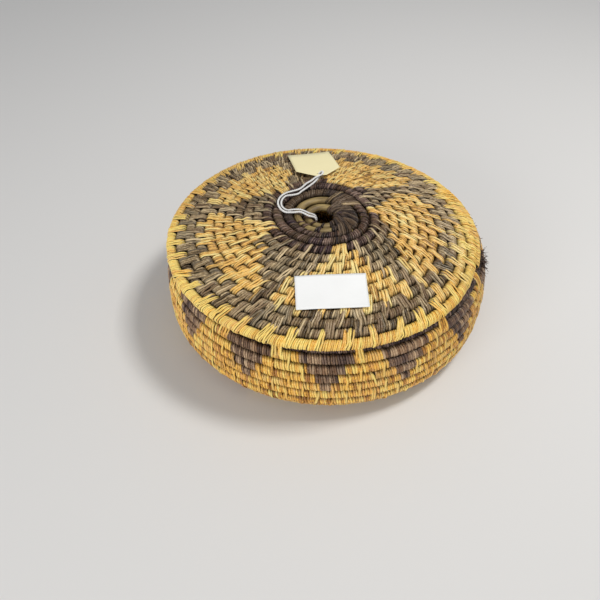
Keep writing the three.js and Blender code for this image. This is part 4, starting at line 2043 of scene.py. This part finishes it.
@dataclass
class Label:
    """A blank paper label that lies on the lid's slope, its corners a little curled.

    Attributes:
        lid: The lid.
        width, height, thickness: Its size.
        degrees, radius: Angle and distance from the axis of its middle.
        rise: How far it lies over the stitches.
        wave: How uneven it is.
        curl: How far its edges stand up.
        grid: Points along its width and height.
    """

    lid: Lid
    width: float = 0.0381
    height: float = 0.0212
    thickness: float = 0.00018
    degrees: float = 2.6
    radius: float = 0.0615
    rise: float = 0.0004
    wave: float = 0.00012
    curl: float = 0.0009
    grid: tuple[int, int] = (29, 17)

    def build(self) -> None:
        """Make the label."""
        u, v = np.meshgrid(*(np.linspace(-0.5, 0.5, count) for count in self.grid), indexing="ij")
        angle = math.radians(self.degrees)
        outward = np.array([math.sin(angle), -math.cos(angle)])
        sideways = np.array([math.cos(angle), math.sin(angle)])
        drop = (-v * self.height * math.cos(self.lid.slope))[..., None] * outward
        spot = self.radius * outward + drop + (u * self.width)[..., None] * sideways
        radius = np.hypot(spot[..., 0], spot[..., 1])
        wave = self.wave * np.sin(u * 9 + 1) * np.cos(v * 7)
        curl = self.curl * (np.abs(2 * u) ** 5 * 0.5 + np.abs(2 * v) ** 6 * 0.25 * (1 + 2 * u))
        lift = self.lid.surface(radius) + SEAT_CLEARANCE + self.rise + wave + curl
        top = np.concatenate([spot, lift[..., None]], axis=-1) + self.lid.spiral.centre
        thing = thin_sheet("label_paper", top, self.thickness, LABEL_PAPER)
        settle(thing, self.lid.body, ("label",))


def slab(
    name: str, top: Array, thickness: float, upper: Array, sides: list[Array], finish: Finish
) -> bpy.types.Object:
    """Return a closed sheet that lies under a grid of points.

    Args:
        name: Name of the piece.
        top: The points, by row and column.
        thickness: How thick the sheet is, downwards.
        upper: Faces between the points.
        sides: Faces of its edges.
        finish: Its finish.

    Returns:
        The object.
    """
    points = np.concatenate([top.reshape(-1, 3), (top - [0, 0, thickness]).reshape(-1, 3)])
    lower = upper[:, ::-1] + len(points) // 2
    return mesh_object(name, points, np.vstack([upper, lower, *sides]), finish)


def numbered(top: Array) -> Array:
    """Return the numbers of a grid's points."""
    return np.arange(top[..., 0].size).reshape(top.shape[:2])


def side_faces(edge: Array, below: int) -> Array:
    """Return the faces between an edge of a sheet and the same edge lower down."""
    ahead = np.roll(edge, -1)
    return np.stack([edge, edge + below, ahead + below, ahead], axis=-1)


def thin_sheet(name: str, top: Array, thickness: float, finish: Finish) -> bpy.types.Object:
    """Return a closed sheet under an open grid of points.

    Args:
        name: Name of the piece.
        top: The points, by column and row.
        thickness: How thick the sheet is, downwards.
        finish: Its finish.

    Returns:
        The object.
    """
    number = numbered(top)
    upper = np.stack([number[:-1, :-1], number[1:, :-1], number[1:, 1:], number[:-1, 1:]], axis=-1)
    upper = upper.reshape(-1, 4)
    edge = np.concatenate([number[:, 0], number[-1, 1:], number[-2::-1, -1], number[0, -2:0:-1]])
    sides = side_faces(edge, number.size)
    if np.cross(top[1, 0] - top[0, 0], top[0, 1] - top[0, 0])[2] < 0:
        upper, sides = upper[:, ::-1], sides[:, ::-1]
    return slab(name, top, thickness, upper, [sides], finish)


RING_POWER = 1.5  # sets the tag's rings closer together near its hole


@dataclass
class Tag:
    """A card tag with clipped corners and a hole, which bends a little over the lid.

    Attributes:
        lid: The lid.
        width, length, thickness: Its size.
        shoulder: Length of the clipped part.
        tip_width: Width of the end with the hole.
        hole_radius: Radius of the hole.
        hole_inset: Distance of the hole's middle from the end.
        tip: Where the end lies, to the right of the lid's axis and behind it.
        turn: How far it points to the left, in degrees.
        lift: Height of that end over the stitches.
        sag: How far its middle bows up.
        dip: How far its sides bow up.
        spokes, rings: Points round the hole and outwards from it.
    """

    lid: Lid
    width: float = 0.0285
    length: float = 0.0455
    shoulder: float = 0.0104
    tip_width: float = 0.007
    thickness: float = 0.00035
    hole_radius: float = 0.0017
    hole_inset: float = 0.0032
    tip: Span = (-0.0005, 0.0348)
    turn: float = 10.0
    lift: float = 0.0019
    sag: float = 0.0004
    dip: float = 0.0003
    spokes: int = 72
    rings: int = 10

    def corners(self) -> Array:
        """Return the card's corners, measured from the hole.

        Returns:
            The corners, in order round the card.
        """
        half, tip = self.width / 2, self.tip_width / 2
        near, far = self.shoulder, self.length
        places = [(-tip, 0), (tip, 0), (half, near), (half, far), (-half, far), (-half, near)]
        return np.array(places) - [0, self.hole_inset]

    def outline(self, angle: Array) -> Array:
        """Return the card's edge, seen from the hole, at some angles.

        Args:
            angle: The angles.

        Returns:
            The points of the edge.
        """
        corners = self.corners()
        ray = circle(angle)
        reach = np.full(len(angle), np.inf)
        for a, b in zip(corners, np.roll(corners, -1, axis=0)):
            edge = b - a
            out = np.array([edge[1], -edge[0]])
            toward = ray @ out
            distance = np.where(toward > 1e-9, (a @ out) / np.maximum(toward, 1e-9), np.inf)
            reach = np.minimum(reach, distance)
        return ray * reach[:, None]

    def build(self) -> bpy.types.Object:
        """Make the tag and return it.

        Returns:
            The object.
        """
        angle = np.linspace(-math.pi, math.pi, self.spokes, endpoint=False)
        for x, y in self.corners():
            corner = np.arctan2(y, x)
            nearest = np.argmin(np.abs(np.angle(np.exp(1j * (angle - corner)))))
            angle[nearest] = corner
        angle = np.sort(angle)
        ring = circle(angle) * self.hole_radius
        share = np.linspace(0, 1, self.rings) ** RING_POWER
        flat = ring + (self.outline(angle) - ring) * share[:, None, None]
        x, y = flat[..., 0], flat[..., 1] + self.hole_inset
        end = self.tip[1] + self.length * math.cos(self.lid.slope)
        high = self.lid.surface(self.tip[1]) + self.lift
        drop = high - self.lid.surface(end) - SEAT_CLEARANCE
        bow = self.sag * np.sin(y / self.length * math.pi)
        bow = bow + self.dip * (2 * x / self.width) ** 2
        z = -y * drop / self.length + bow
        turn, level = math.radians(self.turn), math.sqrt(1 - (drop / self.length) ** 2)
        place = np.stack(
            [
                self.tip[0] + x * math.cos(turn) - y * level * math.sin(turn),
                self.tip[1] + x * math.sin(turn) + y * level * math.cos(turn),
                high + z + self.thickness,
            ],
            axis=-1,
        )
        top = place + self.lid.spiral.centre
        number = numbered(top)
        ahead = np.roll(number, -1, axis=1)
        upper = np.stack([number[:-1], number[1:], ahead[1:], ahead[:-1]], axis=-1).reshape(-1, 4)
        outer, inner = (side_faces(number[ring], number.size) for ring in (-1, 0))
        thing = slab("tag_card", top, self.thickness, upper, [outer, inner[:, ::-1]], MANILA)
        settle(thing, self.lid.body, ("tag",))
        return thing


STRING_SIDES = 8
CURVE_STATIONS = 24  # between two points of a route


@dataclass
class String:
    """A limp two-ply cotton string, looped through the tag's hole and knotted under the lid.

    Attributes:
        lid: The lid.
        diameter, length: Its size; the length is not used.
        ply_radius, ply_offset: Radius of a ply and its distance from the string's middle.
        ply_pitch: Length of a full twist.
        step: Distance between two stations.
        knot_centre, knot_radius: Place and radius of the knot, from the lid's centre.
        knot_tube: Radius of the knot's string, in the string's diameters.
        knot_stations: Number of the knot's stations.
        knot_depth: Height of the knot's crossings, in thirds of its radius.
        route: Points that the string goes through, from the lid's centre.
    """

    lid: Lid
    diameter: float = 0.0011
    length: float = 0.164
    ply_radius: float = 0.00043
    ply_offset: float = 0.00022
    ply_pitch: float = 0.0026
    step: float = 0.00036
    knot_centre: Place = (-0.0096, -0.0056, 0.0066)
    knot_radius: float = 0.0019
    knot_tube: float = 0.42
    knot_stations: int = 120
    knot_depth: float = 1.4
    route: tuple[Place, ...] = (
        (-0.0075, -0.0038, 0.0072), (-0.0053, -0.0024, 0.0077), (-0.0041, -0.0015, 0.0096),
        (-0.0048, -0.0009, 0.013), (-0.0083, -0.0014, 0.01515), (-0.0136, 0.0009, 0.01595),
        (-0.0173, 0.0002, 0.01655), (-0.0214, -0.001, 0.0171), (-0.0242, 0.002, 0.01745),
        (-0.0246, 0.0076, 0.01755), (-0.0221, 0.0125, 0.0175), (-0.0182, 0.0138, 0.0173),
        (-0.0148, 0.0153, 0.01715), (-0.0126, 0.018, 0.0172), (-0.0057, 0.0258, 0.01755),
        (-0.0024, 0.033, 0.0165), (-0.002, 0.035, 0.0161), (-0.0022, 0.0366, 0.01575),
        (-0.00185, 0.0379, 0.0162), (-0.00085, 0.0385, 0.01715), (0.0002, 0.0379, 0.01815),
        (0.0006, 0.0364, 0.01865), (0.0004, 0.0348, 0.01865), (-0.0006, 0.0334, 0.0186),
        (-0.0023, 0.0321, 0.0186), (-0.0043, 0.0307, 0.0183), (-0.0066, 0.0286, 0.0176),
        (-0.0099, 0.0252, 0.0176), (-0.0138, 0.02, 0.01745), (-0.0228, 0.0147, 0.01765),
        (-0.0264, 0.0086, 0.0177), (-0.0261, 0.002, 0.0176), (-0.0226, -0.0029, 0.0173),
        (-0.0176, -0.0025, 0.01665), (-0.0136, -0.0013, 0.016), (-0.0085, -0.0041, 0.01535),
        (-0.0049, -0.0028, 0.0131), (-0.0041, -0.0031, 0.0096), (-0.005, -0.0042, 0.0076),
        (-0.0072, -0.0058, 0.0072),
    )

    def line(self) -> Array:
        """Return the string's middle line at even steps, in the frame.

        Returns:
            The points of the line.
        """
        fine = centripetal(np.array(self.route))
        gone = np.concatenate([[0], np.cumsum(np.linalg.norm(np.diff(fine, axis=0), axis=1))])
        places = np.linspace(0, gone[-1], round(gone[-1] / self.step))
        even = np.stack([np.interp(places, gone, fine[:, k]) for k in range(3)], axis=-1)
        return even + self.lid.spiral.centre

    def plies(self, line: Array) -> Sweep:
        """Return the two plies, twisted round the middle line.

        Args:
            line: Points of the middle line.

        Returns:
            The plies as two bands.
        """
        tangent = unit(np.gradient(line, axis=0))
        side = unit(np.cross(tangent, [0.0, 0.0, 1.0]))
        up = np.cross(side, tangent)
        turn = np.arange(len(line)) * self.step / self.ply_pitch * 2 * math.pi
        paths, normals = [], []
        for phase in (0.0, math.pi):
            out = side * np.cos(turn + phase)[:, None] + up * np.sin(turn + phase)[:, None]
            paths.append(line + out * self.ply_offset)
            normals.append(out)
        ring = round_section(self.ply_radius)
        section = np.broadcast_to(ring, (2, len(line), *ring.shape))
        tones = np.array([0.4, 0.6])
        return Sweep.even(np.array(paths), np.array(normals), section, False, tones)

    def knot(self) -> Sweep:
        """Return the knot that holds the string's two ends.

        Returns:
            The knot as one band.
        """
        t = np.linspace(0, 2 * math.pi, self.knot_stations, endpoint=False)
        tube = self.diameter * self.knot_tube
        size = (self.knot_radius - tube) / 3
        x, y = np.sin(t) + 2 * np.sin(2 * t), np.cos(t) - 2 * np.cos(2 * t)
        path = np.stack([x, y, -self.knot_depth * np.sin(3 * t)], axis=-1) * size
        centre = np.array(self.knot_centre) + self.lid.spiral.centre
        ring = round_section(tube)
        normal = np.broadcast_to([0.0, 0.0, 1.0], path.shape)
        section = np.broadcast_to(ring, (1, len(t), *ring.shape))
        return Sweep.even((path + centre)[None], normal[None], section, True, np.array([0.5]))

    def build(self, tag: bpy.types.Object) -> None:
        """Args:
            tag: The tag that the string holds; not used.
        """
        line = self.line()
        weave("string_plies", self.plies(line), COTTON, self.lid.body, ("string",))
        weave("knot_of_string", self.knot(), COTTON, self.lid.body, ("string_knot",))


def round_section(radius: float) -> Array:
    """Return the corners of a round section."""
    phi = np.linspace(0, 2 * math.pi, STRING_SIDES, endpoint=False)
    return radius * circle(phi)


def centripetal(points: Array) -> Array:
    """Return a fine centripetal curve through the points.

    Args:
        points: The points.

    Returns:
        The points of the curve.
    """
    points = np.vstack([2 * points[0] - points[1], points, 2 * points[-1] - points[-2]])
    pieces = []
    for a, b, c, d in zip(points, points[1:], points[2:], points[3:]):
        gaps = [max(math.sqrt(np.linalg.norm(q - p)), 1e-6) for p, q in ((a, b), (b, c), (c, d))]
        times = np.cumsum([0, *gaps])
        t = np.linspace(times[1], times[2], CURVE_STATIONS, endpoint=False)[:, None]

        def between(p: Array, q: Array, i: int, j: int) -> Array:
            """Return the line from p at time i to q at time j."""
            return (p * (times[j] - t) + q * (t - times[i])) / (times[j] - times[i])

        ab, bc, cd = between(a, b, 0, 1), between(b, c, 1, 2), between(c, d, 2, 3)
        pieces.append(between(between(ab, bc, 0, 2), between(bc, cd, 1, 3), 1, 2))
    return np.vstack([*pieces, points[-2:-1]])


@dataclass(frozen=True)
class Lamp:
    """A square lamp that points at the basket.

    Attributes:
        name: Its name.
        place: Where it stands.
        size: Length of its side.
        power: Power in watts.
        colour: Colour of its light.
    """

    name: str
    place: Place
    size: float
    power: float
    colour: Colour

    def build(self, target: Place) -> None:
        """Make the lamp, turned to its target.

        Args:
            target: Where it points.
        """
        data = bpy.data.lights.new(self.name, "AREA")
        data.size, data.energy, data.color = self.size, self.power, self.colour
        lamp = bpy.data.objects.new(self.name, data)
        lamp.location = self.place
        toward = Vector(target) - lamp.location
        lamp.rotation_euler = toward.to_track_quat("-Z", "Y").to_euler()
        bpy.context.scene.collection.objects.link(lamp)


@dataclass
class Studio:
    """The camera, the floor and the light.

    Attributes:
        camera_place, camera_tilt: The camera's place, and its tilt from straight down in degrees.
        lens, sensor: Its focal length and the sensor's width, in millimetres.
        nearest: The nearest that it sees.
        floor_size: Length of the floor's side.
        sky, sky_strength: The world's light.
        target: Where the lamps point.
        lamps: The lamps.
    """

    camera_place: Place = (-0.0163, -0.2938, 0.2878)
    camera_tilt: float = 44.97
    lens: float = 36.6
    sensor: float = 36.0
    nearest: float = 0.01
    floor_size: float = 6.0
    sky: Colour = (0.97, 0.98, 1.0)
    sky_strength: float = 0.36
    target: Place = (0.0, 0.0, 0.03)
    lamps: tuple[Lamp, ...] = (
        Lamp("key", (0.40, 0.04, 0.88), size=0.20, power=5.1, colour=(1.0, 0.97, 0.92)),
        Lamp("fill", (-0.62, -0.95, 0.34), size=0.7, power=7.2, colour=(1.0, 0.98, 0.95)),
    )

    def place_camera(self) -> None:
        """Make the camera at the photograph's viewing angle."""
        data = bpy.data.cameras.new("camera")
        data.lens = self.lens
        data.sensor_width = self.sensor
        data.clip_start = self.nearest
        camera = bpy.data.objects.new("camera", data)
        camera.location = self.camera_place
        camera.rotation_euler = (math.radians(self.camera_tilt), 0, 0)
        bpy.context.scene.collection.objects.link(camera)
        bpy.context.scene.camera = camera

    def build(self) -> None:
        """Make the floor, the world and the lamps."""
        half = self.floor_size / 2
        corners = np.array([(-half, -half, 0), (half, -half, 0), (half, half, 0), (-half, half, 0)])
        floor = mesh_object("floor", corners, np.array([[0, 1, 2, 3]]), FLOOR)
        world = bpy.data.worlds.new("world")
        bpy.context.scene.world = world
        world.use_nodes = True
        background = world.node_tree.nodes["Background"]
        background.inputs["Color"].default_value = (*self.sky, 1)
        background.inputs["Strength"].default_value = self.sky_strength
        for lamp in self.lamps:
            lamp.build(self.target)


@dataclass(frozen=True)
class FloorFinish(Finish):
    """A plain pale floor.

    Attributes:
        colour: Its colour.
    """

    colour: Colour

    def make(self, sheet: Sheet) -> bpy.types.Material:
        """Add the nodes of the material."""
        grain = sheet.noise(sheet.place(), scale=60.0, detail=2.0)
        return sheet.surface(self.colour, 0.8, grain, depth=0.00001)


FLOOR = FloorFinish(name="floor", slot="", colour=(0.72, 0.72, 0.72))


def set_look() -> None:
    """Set the plain view transform."""
    bpy.context.scene.view_settings.view_transform = "Standard"


def main() -> None:
    """Build the whole scene."""
    logging.basicConfig(level=logging.INFO, format="%(name)s: %(message)s")
    set_look()
    studio = Studio()
    studio.place_camera()
    lid = Lid()
    String(lid).build(Tag(lid).build())
    Label(lid).build()
    lid.build()
    Basket().build()
    studio.build()


if __name__ == "__main__":
    main()
